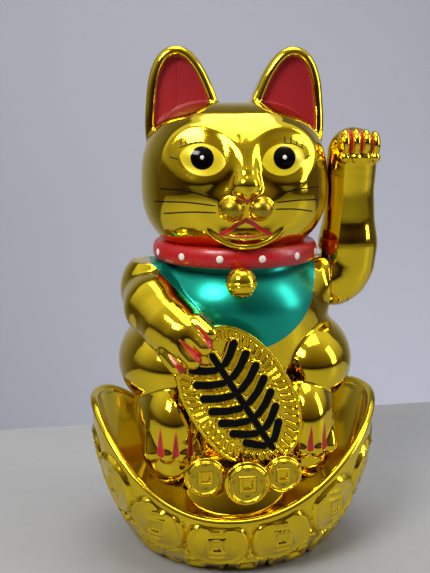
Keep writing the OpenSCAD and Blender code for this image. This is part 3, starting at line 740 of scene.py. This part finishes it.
TABLET = vec((-3.9, -44.5, 73.9))
TABLET_A, TABLET_B, TABLET_T = 30.0, 19.6, 3.0
LEAN = math.radians(32)
TABLET_FOOT = 49.0
TABLET_BARS, TABLET_STEPS = 49, 48
TABLET_EDGE = np.array([
    (TABLET_B * np.sign(c) * abs(c) ** 0.9, TABLET_A * np.sign(s) * abs(s) ** 0.9)
    for c, s in ((math.cos(t), math.sin(t)) for t in np.linspace(0, 2 * math.pi, TABLET_STEPS + 1)[:-1])
])


def on_tablet(p):
    """Across, along and out of the tablet."""
    d = p - TABLET
    c, s = math.cos(LEAN), math.sin(LEAN)
    return d[:, 0] * c + d[:, 2] * s, -d[:, 0] * s + d[:, 2] * c, -d[:, 1]


def tablet_room(p):
    """The slot that the tablet takes in the body, with a little air."""
    u, v, w = on_tablet(p)
    edge = (np.hypot(u / (TABLET_B + 0.5), v / (TABLET_A + 0.5)) - 1) * TABLET_B
    return np.maximum(edge, np.abs(w + TABLET_T / 2) - TABLET_T / 2 - 0.25)


ORNAMENT = []
for row, half in enumerate((9.0, 10.6, 11.4, 11.4, 10.8, 9.4, 7.2)):
    v0 = 17.0 - row * 5.9
    for side in (-1, 1):
        rib = [(side * 2.3, v0 - 2.6), (side * half * 0.6, v0 - 0.8), (side * half, v0 + 2.2)]
        ORNAMENT.append((rib, 1.45, 1.6))
ORNAMENT.append(([(0, 19.5), (0, -23.5)], 1.3, 1.3))


def ink(p):
    """The painted strokes, a plain leaf-like ornament."""
    u, v, w = on_tablet(p)
    return np.where(w > -2, strokes(u, v, ORNAMENT), BARE)


def tablet(p):
    u, v, w = on_tablet(p)
    edge = outline(u, v, TABLET_EDGE)
    around = np.arctan2(v / TABLET_A, u / TABLET_B)
    turn = np.linspace(-math.pi, math.pi, 721)
    run = np.cumsum(np.hypot(TABLET_B * np.sin(turn), TABLET_A * np.cos(turn)))
    phase = np.interp(around, turn, run / run[-1]) * TABLET_BARS
    bar = np.clip(1.6 * np.cos(2 * math.pi * phase) + 0.1, -1, 1)
    lip = np.clip((1.7 + edge) / 0.6, 0, 1)
    band = np.clip((-edge - 1.6) / 0.5, 0, 1) * np.clip((6.2 + edge) / 0.8, 0, 1)
    line = strokes(u, v, ORNAMENT)
    raised = np.clip(0.5 - (line - 0.75) / 0.5, 0, 1)
    height = -1.1 + 1.1 * lip + 0.75 * band * (0.5 + 0.5 * bar) + 0.95 * raised * (1 - lip)
    height -= 0.3 * np.clip(0.5 - line / 0.4, 0, 1)
    f = smax(edge, (w - height) * 0.7, 0.6)
    f = np.maximum(f, -TABLET_T - w)
    return np.maximum(f, TABLET_FOOT - p[:, 2])


halves("body", body, ((-52, -52, 20), (52, 46, 127)), 0.62, gold_body, "figure",
       {"bib": bib_paint, "red": body_red})
solid("coin_tablet_relief", *skin(tablet, (-31, -46.2, 47.5), (23, -40.8, 103), 0.3), gold_tablet,
      replaces=("coin_tablet",), paints={"ink": ink})

# ---------------------------------------------------------------- front coins

COINS = [((-17.2, -44.9, 44.0), 7.8), ((12.6, -44.9, 43.8), 7.3), ((-1.6, -47.4, 41.8), 8.7)]
COIN_T = 2.4


def coin(p, centre, radius):
    """A round coin with a raised ring and a framed square hole; s scales it to a radius of 8."""
    s = radius / 8
    d = (p - vec(centre)) / s
    r, w = np.hypot(d[:, 0], d[:, 2]), -d[:, 1] * s
    square = np.maximum(np.abs(d[:, 0]), np.abs(d[:, 2]))
    ring = np.exp(-((r - 6.35) / 0.42) ** 2)
    frame_bar = np.clip((3.1 - square) / 0.35, 0, 1)
    hole = np.clip((1.8 - square) / 0.35, 0, 1)
    turn = np.arctan2(d[:, 2], d[:, 0])
    marks = np.clip(0.9 - np.abs(r - 4.8), 0, 1) * np.clip(1.5 * np.abs(np.cos(2 * turn)) - 1.2, 0, 1)
    height = COIN_T - 0.75 - 0.35 * np.clip(r - 6.6, 0, 1.4) + 0.8 * ring
    height += 0.65 * frame_bar - 1.2 * hole + 1.2 * marks
    return np.maximum(smax((r - 8) * s, (w - height) * 0.75, 0.8), -w)


def coin_field_shade(p):
    """The sunken ground between the ring and the frame: a rougher grained surface, and a darker gold that is
    painted shade in the recess.
    """
    f = np.full(len(p), BARE)
    for centre, radius in COINS:
        s = radius / 8
        d = p - vec(centre)
        r, square = np.hypot(d[:, 0], d[:, 2]) / s, np.maximum(np.abs(d[:, 0]), np.abs(d[:, 2])) / s
        f = np.minimum(f, np.maximum(r - 6.0, 2.9 - square))
    return f


coin_skins = []
for centre, radius in COINS:
    around_it = vec((radius + 1, 0, radius + 1))
    low_corner = vec(centre) - around_it - vec((0, 4.2, 0))
    high_corner = vec(centre) + around_it + vec((0, 0.9, 0))
    coin_skins.append(skin(lambda p, c=centre, r=radius: coin(p, c, r), low_corner, high_corner, 0.27))
solid("front_coin_set", *joined(coin_skins), gold_coin, replaces=("front_coins",),
      paints={"field": coin_field_shade})

# ---------------------------------------------------------------- swinging arm

ARM_FACE = 38.6
ARM_PATH = [
    ((36, 0, 110), 10.0), ((42, 0, 110.4), 10.2), ((45.6, 0, 113), 10.5), ((47.6, 0, 118), 11.0),
    ((48.1, -0.3, 126), 11.4), ((47.6, -3.0, 156), 9.4),
]
PALM = (47.8, -4.6, 163.4)
TOE_X = [42.3 + 4.2 * i for i in range(4)]
TOE_BACK = (0.6, 0.0, 0.4, 1.8)


def arm_mass(p):
    f = limb(p, ARM_PATH[-1][0], ARM_PATH[-1][1], PALM, 10.0)
    for (a, ra), (b, rb) in zip(ARM_PATH, ARM_PATH[1:]):
        f = smin(f, limb(p, a, ra, b, rb), 5.5)
    return f


def arm(p):
    f = arm_mass(p)
    toes = np.full(len(p), FAR)
    for x, back in zip(TOE_X, TOE_BACK):
        toes = smin(toes, ellipsoid(p, (x, -12.4 + back, 167.4 - back / 2), (2.3, 4.4, 5.4)), 0.3)
        toes = smin(toes, ellipsoid(p, (x, -12.7 + back / 2, 161.4), (2.2, 2.8, 2.3)), 0.5)
    f = smin(f, toes, 1.6)
    across = from_shaft(p)
    f = np.maximum(f, -np.maximum(across - 14, p[:, 0] - ARM_FACE))
    hollow = np.maximum(across - 9.9, np.abs(p[:, 0] - 42) - 5)
    return np.maximum(f, -np.minimum(arm_mass(p) + ARM_SHELL, hollow))


def arm_red(p):
    f = np.full(len(p), BARE)
    for a, b in zip(TOE_X, TOE_X[1:]):
        f = np.minimum(f, np.abs(p[:, 0] - (a + b) / 2) - 0.7)
    return np.where((p[:, 2] > 163.0) & (p[:, 1] < -7), f, BARE)


halves("arm", arm, ((33, -22, 96), (62, 14, 178)), 0.45, gold_arm, "arm", {"red": arm_red})

# ---------------------------------------------------------------- collar, dots and bell


def revolve(profile, steps):
    """A closed profile of (radius, height), turned about the neck's axis."""
    rings = []
    for k in range(steps):
        t = 2 * math.pi * k / steps
        x, y = math.cos(t), math.sin(t)
        rings.append([(NECK[0] + r * x, NECK[1] + r * y, NECK[2] + z) for r, z in profile])
    return loft(rings)


half_h = COLLAR_H / 2
collar_profile = [(COLLAR_IN, -half_h)]
for a in np.linspace(-math.pi / 2, math.pi / 2, 17):
    bulge = COLLAR_EDGE * math.cos(a) * (1 - 0.12 * math.sin(a) ** 2)
    collar_profile.append((COLLAR_OUT - COLLAR_EDGE + bulge, half_h * math.sin(a)))
collar_profile.append((COLLAR_IN, half_h))
solid("collar_band", *revolve(collar_profile[::-1], steps=160), red_gloss, slot="red_enamel",
      replaces=("collar_ring",))


def dome(centre, normal, radius, height, rings=5, around=20):
    """A low round cap that stands on a surface, with a flat back."""
    n = Vector(normal).normalized()
    side = n.orthogonal().normalized()
    up = n.cross(side)
    verts = []
    for j in range(rings):
        a = 0.5 * math.pi * j / rings
        for k in range(around):
            t = 2 * math.pi * k / around
            q = (side * math.cos(t) + up * math.sin(t)) * radius * math.cos(a) + n * height * math.sin(a)
            verts.append(vec(centre) + vec(q))
    verts.append(vec(centre) + vec(n) * height)
    faces = []
    for j in range(0, (rings - 1) * around, around):
        for k in range(around):
            beside = (k + 1) % around
            faces.append([j + k, j + beside, j + around + beside, j + around + k])
    last = (rings - 1) * around
    faces += [[last + k, last + (k + 1) % around, len(verts) - 1] for k in range(around)]
    faces.append(list(range(around))[::-1])
    return np.array(verts), faces


DOTS, DOT_START = 13, -94
dots = []
for k in range(DOTS):
    t = math.radians(DOT_START + 360 * (k + 0.5) / DOTS)
    out = vec((math.cos(t), math.sin(t), 0))
    dots.append(dome(NECK + out * (COLLAR_OUT - 0.15), out, 1.45, 0.55))
solid("collar_dots", *joined(dots), white_paint, slot="white_paint")

BELL = vec((-3.3, -42.0, 117.2))
BELL_R = 5.7


def bell(p):
    d = p - BELL
    f = size(d) - BELL_R
    belt = np.abs(d[:, 2] + 0.2)
    f = f - 0.28 * np.clip(1 - np.abs(belt - 0.5) / 0.4, 0, 1)
    slot_cut = np.maximum(np.abs(d[:, 2] + 3.6) - 0.55, np.abs(d[:, 0]) - 3.4)
    slot_cut = np.maximum(slot_cut, d[:, 1] + 2)
    f = smax(f, -slot_cut, 0.3)
    stem = limb(p, (BELL[0], -40, 121.6), 1.3, (BELL[0], -33.4, 121.8), 1.0)
    return smin(f, stem, 0.8)


solid("bell_shell", *skin(bell, (-10, -49, 110), (5, -32, 124.5), 0.32), gold_plain, replaces=("bell",))

# ---------------------------------------------------------------- ribbons: whiskers and lashes

IN_FRONT = -60.0
STRAIGHT_BACK = vec((0, 1, 0))


def ribbon(field, points, width, n=26):
    """A thin painted line laid on a surface that faces -Y, as a low closed strip."""
    path = curve(points, max(2, n // (len(points) - 1)))
    start = np.stack([path[:, 0], np.full(len(path), IN_FRONT), path[:, 1]], 1)
    on = land(field, start, STRAIGHT_BACK)
    normal = slope(field, on, 0.35)
    normal /= size(normal)[:, None]
    along = np.gradient(on, axis=0)
    side = np.cross(along, normal)
    side /= size(side)[:, None]
    t = np.linspace(0, 1, len(on))[:, None]
    half = 0.5 * width * np.clip(np.sqrt(np.minimum(t, 1 - t) * 10) + 0.25, 0, 1)
    rings = []
    for i in range(len(on)):
        a, b = on[i] + side[i] * half[i], on[i] - side[i] * half[i]
        rings.append([a + normal[i] * 0.08, b + normal[i] * 0.08, b - normal[i] * 0.28, a - normal[i] * 0.28])
    verts = np.array(rings).reshape(-1, 3)
    faces = []
    for i in range(len(rings) - 1):
        for k in range(4):
            j = (k + 1) % 4
            faces.append([i * 4 + k, i * 4 + j, (i + 1) * 4 + j, (i + 1) * 4 + k])
    last = 4 * (len(rings) - 1)
    faces += [[3, 2, 1, 0], [last, last + 1, last + 2, last + 3]]
    return verts, faces


WHISKERS = [
    [(-12.0, 147.3), (-22.5, 150.2), (-32.0, 150.6)],
    [(-11.7, 144.8), (-23.0, 146.0), (-33.9, 145.6)],
    [(-11.7, 142.2), (-21.0, 142.4), (-30.6, 141.3)],
    [(9.8, 148.5), (18.5, 150.5), (28.3, 151.0)],
    [(10.5, 145.9), (19.0, 146.5), (28.1, 146.2)],
    [(10.1, 143.4), (18.0, 143.2), (26.1, 141.8)],
]
LASHES = [
    [(-24.9, 165.6), (-20.5, 167.1), (-15.8, 167.8)], [(13.2, 167.4), (18.0, 167.0), (22.0, 165.2)],
    [(-24.0, 166.6), (-23.6, 169.8)], [(-22.2, 166.9), (-21.9, 170.0)], [(-20.4, 167.1), (-20.2, 170.2)],
    [(-18.6, 167.3), (-18.7, 170.3)], [(-16.8, 167.6), (-17.3, 170.2)], [(14.5, 167.4), (14.4, 169.8)],
    [(16.6, 167.2), (17.1, 169.6)], [(18.9, 166.8), (19.8, 169.1)], [(21.1, 165.8), (22.3, 168.0)],
    [(-25.0, 161.5), (-28.3, 162.4)], [(22.7, 162.2), (25.7, 163.1)],
]

solid("face_whiskers", *joined([ribbon(head_outer, w, 0.5) for w in WHISKERS]), black_paint,
      slot="black_paint")
solid("face_lashes", *joined([ribbon(head_outer, w, 0.42, n=8) for w in LASHES]), black_paint,
      slot="black_paint")
GLINTS = [(side * PUPIL[0] - 1.4, IN_FRONT, PUPIL[1] + 0.2) for side in (-1, 1)]
solid("eye_glints", *joined([
    dome(q, (0.1, -1, 0.1), 0.8, 0.22, rings=3, around=16) for q in land(head_outer, GLINTS, STRAIGHT_BACK)
]), white_paint, slot="white_paint")

# ---------------------------------------------------------------- ingot bowl

RIM_A, RIM_B, RIM_LOW, RIM_HIGH = 59.6, 49.0, 26.0, 62.0
FOOT_A, FOOT_B = 38.4, 33.2
SWELL, BEAD = 1.72, 1.6
RIM_POWER, BACK_RIM_POWER, RIM_SHIFT = 2.3, 3.4, math.radians(8)
BOWL_WALL, DECK_T = 2.2, 2.0
DECK_A, DECK_B = 36.0, 31.0
AROUND, UP, DOWN = 640, 92, 22
RELIEF_R = 12.6
COINS_ROUND = 14
COIN_ROWS = ((0.40, 0.0), (0.75, 0.5))


def rim_z(t):
    back = 1 - np.abs(np.sin(t)) ** BACK_RIM_POWER
    front = np.abs(np.cos(t - RIM_SHIFT * np.sin(t))) ** RIM_POWER
    return RIM_LOW + (RIM_HIGH - RIM_LOW) * np.where(np.sin(t) > 0, back, front)


def wall_point(t, u, inset=0.0):
    s = np.sin(np.pi / 2 * u) ** SWELL
    x = (FOOT_A + (RIM_A - FOOT_A) * s - inset) * np.cos(t)
    y = (FOOT_B + (RIM_B - FOOT_B) * s - inset) * np.sin(t)
    return np.stack([x, y, rim_z(t) * (1 - np.cos(np.pi / 2 * u))], -1)


def wall_u(t, z):
    return np.arccos(1 - z / rim_z(t)) * 2 / np.pi


def wall_axes(t, u):
    """Along the wall, up the wall and out of it."""
    e = 1e-4
    across = wall_point(t + e, u) - wall_point(t - e, u)
    up = wall_point(t, u + e) - wall_point(t, u - e)
    across /= np.linalg.norm(across, axis=-1, keepdims=True)
    up /= np.linalg.norm(up, axis=-1, keepdims=True)
    out = np.cross(across, up)
    return across, up, out / np.linalg.norm(out, axis=-1, keepdims=True)


def relief(p):
    """Height of the cast coins, which overlap like scales: the lower row lies under the upper."""
    height = np.zeros(len(p))
    pitch = 2 * math.pi / COINS_ROUND
    for u, start in COIN_ROWS:
        for k in range(COINS_ROUND):
            t = np.array(-math.pi / 2 + (k + start) * pitch)
            across, up, _ = wall_axes(t, np.array(u))
            d = p - wall_point(t, np.array(u))
            r = size(d)
            inside = r < RELIEF_R + 1.4
            a, b, r = np.abs(d[inside] @ across), np.abs(d[inside] @ up), r[inside]
            disc = np.clip((RELIEF_R - r) / 0.45, 0, 1)
            square = np.maximum(a, b)
            made = 0.7 * disc + 0.7 * np.exp(-((r - RELIEF_R + 1.5) / 0.75) ** 2)
            made -= 0.7 * np.clip((2.6 - square) / 0.6, 0, 1)
            made += 0.7 * np.exp(-((square - 3.6) / 0.7) ** 2)
            bar = np.maximum(a - 3.0, np.abs(b - 6.9) - 0.6)
            made += 0.6 * np.clip(0.5 - bar / 0.7, 0, 1)
            made -= 0.6 * np.exp(-((r - RELIEF_R - 0.35) / 0.6) ** 2)
            old = height[inside]
            height[inside] = old + (made - old) * np.clip((RELIEF_R + 0.9 - r) / 0.5, 0, 1)
    return height


def bowl_rings():
    t = np.linspace(0, 2 * np.pi, AROUND, endpoint=False)
    tt, uu = np.meshgrid(t, np.linspace(0, 0.985, UP), indexing="ij")
    outer = wall_point(tt, uu)
    out = wall_axes(tt, np.clip(uu, 0.002, 1))[2]
    height = relief(outer.reshape(-1, 3)).reshape(tt.shape)
    height *= np.clip(uu / 0.06, 0, 1) * np.clip((0.965 - uu) / 0.03, 0, 1)
    outer = outer + out * height[..., None]
    outer[..., 2] = np.maximum(outer[..., 2], 0)
    top = wall_point(t, 1.0, BEAD / 2)
    parts = [outer]
    for a in np.radians(np.linspace(-40, 220, 11)):
        ring = np.stack([np.cos(a) * np.cos(t), np.cos(a) * np.sin(t), np.full(AROUND, np.sin(a))], -1)
        parts.append((top + BEAD * ring)[:, None])
    deck_u = wall_u(t, DECK_Z)
    for i in range(1, DOWN + 1):
        parts.append(wall_point(t, 1 - (1 - deck_u) * i / DOWN, BOWL_WALL)[:, None])
    for a, b, z in ((DECK_A, DECK_B, DECK_Z), (DECK_A, DECK_B, DECK_Z - DECK_T)):
        parts.append(np.stack([a * np.cos(t), b * np.sin(t), np.full(AROUND, z)], -1)[:, None])
    parts.append(wall_point(t, wall_u(t, DECK_Z - DECK_T), BOWL_WALL + 1)[:, None])
    foot = [(FOOT_A - BOWL_WALL) * np.cos(t), (FOOT_B - BOWL_WALL) * np.sin(t), np.zeros(AROUND)]
    parts.append(np.stack(foot, -1)[:, None])
    return np.concatenate(parts, 1)


solid("ingot_relief", *loft(bowl_rings()), gold_ingot, replaces=("ingot_bowl",))

# ---------------------------------------------------------------- finishes of the CAD's own parts

ivory = Finish("ivory_plastic", (0.72, 0.67, 0.52), rough=0.42, grain=260.0, relief=0.02).done()
white = Finish("white_plastic", (0.80, 0.80, 0.77), rough=0.38, grain=260.0, relief=0.02).done()
dark = Finish("dark_plastic", (0.018, 0.018, 0.020), rough=0.36, grain=300.0, relief=0.02).done()
sleeve = Finish("cell_sleeve", (0.020, 0.060, 0.18), rough=0.25, grain=200.0, coat=0.4).done()
red_wire = Finish("red_insulation", (0.48, 0.020, 0.016), rough=0.4, grain=500.0).done()
board = Finish("board_green", (0.010, 0.12, 0.035), rough=0.35, grain=300.0, coat=0.3).done()
tan = Finish("resistor_coat", (0.55, 0.36, 0.17), rough=0.4, grain=700.0).done()
copper = Finish("copper_wire", (0.80, 0.36, 0.18), metallic=1.0, rough=0.28, grain=1500.0, relief=0.05).done()
brass = Finish("brass", (0.76, 0.55, 0.20), metallic=1.0, rough=0.25, grain=900.0, relief=0.01).done()
steel = Finish("steel", (0.60, 0.60, 0.61), metallic=1.0, rough=0.28, grain=1100.0, relief=0.008).done()
magnet = Finish("magnet", (0.42, 0.42, 0.44), metallic=1.0, rough=0.34, grain=700.0, relief=0.01).done()

WEARS = [
    (ivory, ("base_plate", "battery_door", "seat_plate")),
    (white, ("movement_frame", "coil_bobbin", "board_posts", "pendulum_lever")),
    (dark, ("switch_knob", "switch_housing", "drive_transistor", "lead_black", "lead_switch")),
    (sleeve, ("battery_cell", "capacitor")),
    (red_wire, ("lead_red",)),
    (board, ("circuit_board",)),
    (tan, ("resistor",)),
    (copper, ("drive_coil",)),
    (brass, ("shaft_bushes",)),
    (steel, ("base_screws", "frame_screws", "arm_shaft", "shaft_clip", "negative_spring",
             "positive_contact", "counterweight")),
    (magnet, ("drive_magnet",)),
    (gold_plain, ("arm_end_cap",)),
]
for material, names in WEARS:
    for name in names:
        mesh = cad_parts[name].data
        mesh.materials.clear()
        mesh.materials.append(material)

# ---------------------------------------------------------------- floor, wall, lights and camera


def plain(name, colour, rough, grain):
    """A matt paint for the studio."""
    made = Finish(name, colour, rough=rough, grain=grain, vary=0.05, relief=0.03)
    made.shader.inputs["Specular IOR Level"].default_value = 0.25
    return made.done()


def sheet(name, corners, material):
    """A flat piece of the studio."""
    mesh = bpy.data.meshes.new(name)
    mesh.from_pydata(corners, [], [range(4)])
    mesh.materials.append(material)
    made = bpy.data.objects.new(name, mesh)
    bpy.context.collection.objects.link(made)


# The table ends behind the cat, and the wall stands far enough back for a view from behind.
TABLE_EDGE, EDGE_DIR = Vector((0.0, 0.147, 0)), Vector((0.9973, 0.0734, 0))
TABLE_HALF, TABLE_DEPTH = 1.6, 2.4
WALL_HALF, WALL_Y, WALL_LOW, WALL_HIGH = 2.4, 1.0, -1.2, 1.8
edge_a, edge_b = TABLE_EDGE - EDGE_DIR * TABLE_HALF, TABLE_EDGE + EDGE_DIR * TABLE_HALF
near = Vector((0, -TABLE_DEPTH, 0))
table_paint = plain("floor_paint", (0.295, 0.300, 0.310), 0.5, 60.0)
sheet("floor", [edge_a + near, edge_b + near, edge_b, edge_a], table_paint)
wall_corners = [(-WALL_HALF, WALL_Y, WALL_LOW), (WALL_HALF, WALL_Y, WALL_LOW),
                (WALL_HALF, WALL_Y, WALL_HIGH), (-WALL_HALF, WALL_Y, WALL_HIGH)]
sheet("wall", wall_corners, plain("wall_paint", (0.61, 0.64, 0.75), 0.7, 40.0))

world = bpy.data.worlds.new("studio")
bpy.context.scene.world = world
world.use_nodes = True
sky = world.node_tree
background = sky.nodes["Background"]
place = sky.nodes.new("ShaderNodeTexCoord")
parts_of = sky.nodes.new("ShaderNodeSeparateXYZ")
sky.links.new(place.outputs["Generated"], parts_of.inputs[0])


def sky_ramp(socket, stops):
    """A colour that changes with how far the sky's direction points along one axis."""
    made = sky.nodes.new("ShaderNodeValToRGB")
    span = sky.nodes.new("ShaderNodeMapRange")
    span.inputs["From Min"].default_value = -1.0
    sky.links.new(parts_of.outputs[socket], span.inputs["Value"])
    sky.links.new(span.outputs["Result"], made.inputs["Fac"])
    ramp = made.color_ramp
    while len(ramp.elements) < len(stops):
        ramp.elements.new(0.5)
    for element, (at, colour) in zip(ramp.elements, stops):
        element.position = at
        element.color = (*colour, 1)
    return made.outputs["Color"]


upward = sky_ramp("Z", [(0.0, (0.30, 0.28, 0.26)), (0.44, (0.10, 0.07, 0.05)), (0.52, (0.12, 0.09, 0.07)),
                        (0.60, (0.46, 0.45, 0.46)), (0.85, (1.0, 1.0, 1.0))])
frontward = sky_ramp("Y", [(0.0, (0.20, 0.14, 0.09)), (0.24, (0.42, 0.36, 0.31)), (0.55, (1.0, 1.0, 1.0))])
product = sky.nodes.new("ShaderNodeMix")
product.data_type, product.blend_type = "RGBA", "MULTIPLY"
product.inputs[0].default_value = 1.0
sky.links.new(upward, product.inputs[6])
sky.links.new(frontward, product.inputs[7])
sky.links.new(product.outputs[2], background.inputs["Color"])
background.inputs["Strength"].default_value = 0.78


def softbox(name, at, target, width, height, power, colour):
    """A rectangular light that faces its target."""
    light = bpy.data.lights.new(name, "AREA")
    light.shape, light.size, light.size_y = "RECTANGLE", width, height
    light.energy, light.color = power, colour
    made = bpy.data.objects.new(name, light)
    made.location = at
    made.rotation_euler = (Vector(target) - Vector(at)).to_track_quat("-Z", "Y").to_euler()
    bpy.context.collection.objects.link(made)


AIM = (0.0, 0.0, 0.10)
softbox("key_light", (-0.42, -0.50, 0.72), AIM, 0.30, 0.30, 6.8, (1.0, 0.98, 0.94))
softbox("right_fill", (0.75, -0.25, 0.42), AIM, 0.22, 0.60, 2.6, (0.95, 0.97, 1.0))
softbox("wall_light", (0.45, 0.45, -0.45), (0.35, 1.0, 0.05), 1.0, 0.3, 2.3, (0.95, 0.97, 1.0))
softbox("top_light", (0.05, 0.02, 0.95), AIM, 0.70, 0.50, 5.0, (1.0, 1.0, 1.0))

CAMERA_AT, CAMERA_LOOK = (-0.0498, -0.3415, 0.172), (0.1198, 0.9759, -0.1822)
LENS, SENSOR = 52.9, 36.0
camera = bpy.data.objects.new("camera", bpy.data.cameras.new("camera"))
camera.data.lens, camera.data.sensor_width = LENS, SENSOR
camera.data.clip_start = 0.01
camera.location = CAMERA_AT
camera.rotation_euler = Vector(CAMERA_LOOK).to_track_quat("-Z", "Y").to_euler()
bpy.context.collection.objects.link(camera)
bpy.context.scene.camera = camera

bpy.context.scene.view_settings.view_transform = "Standard"
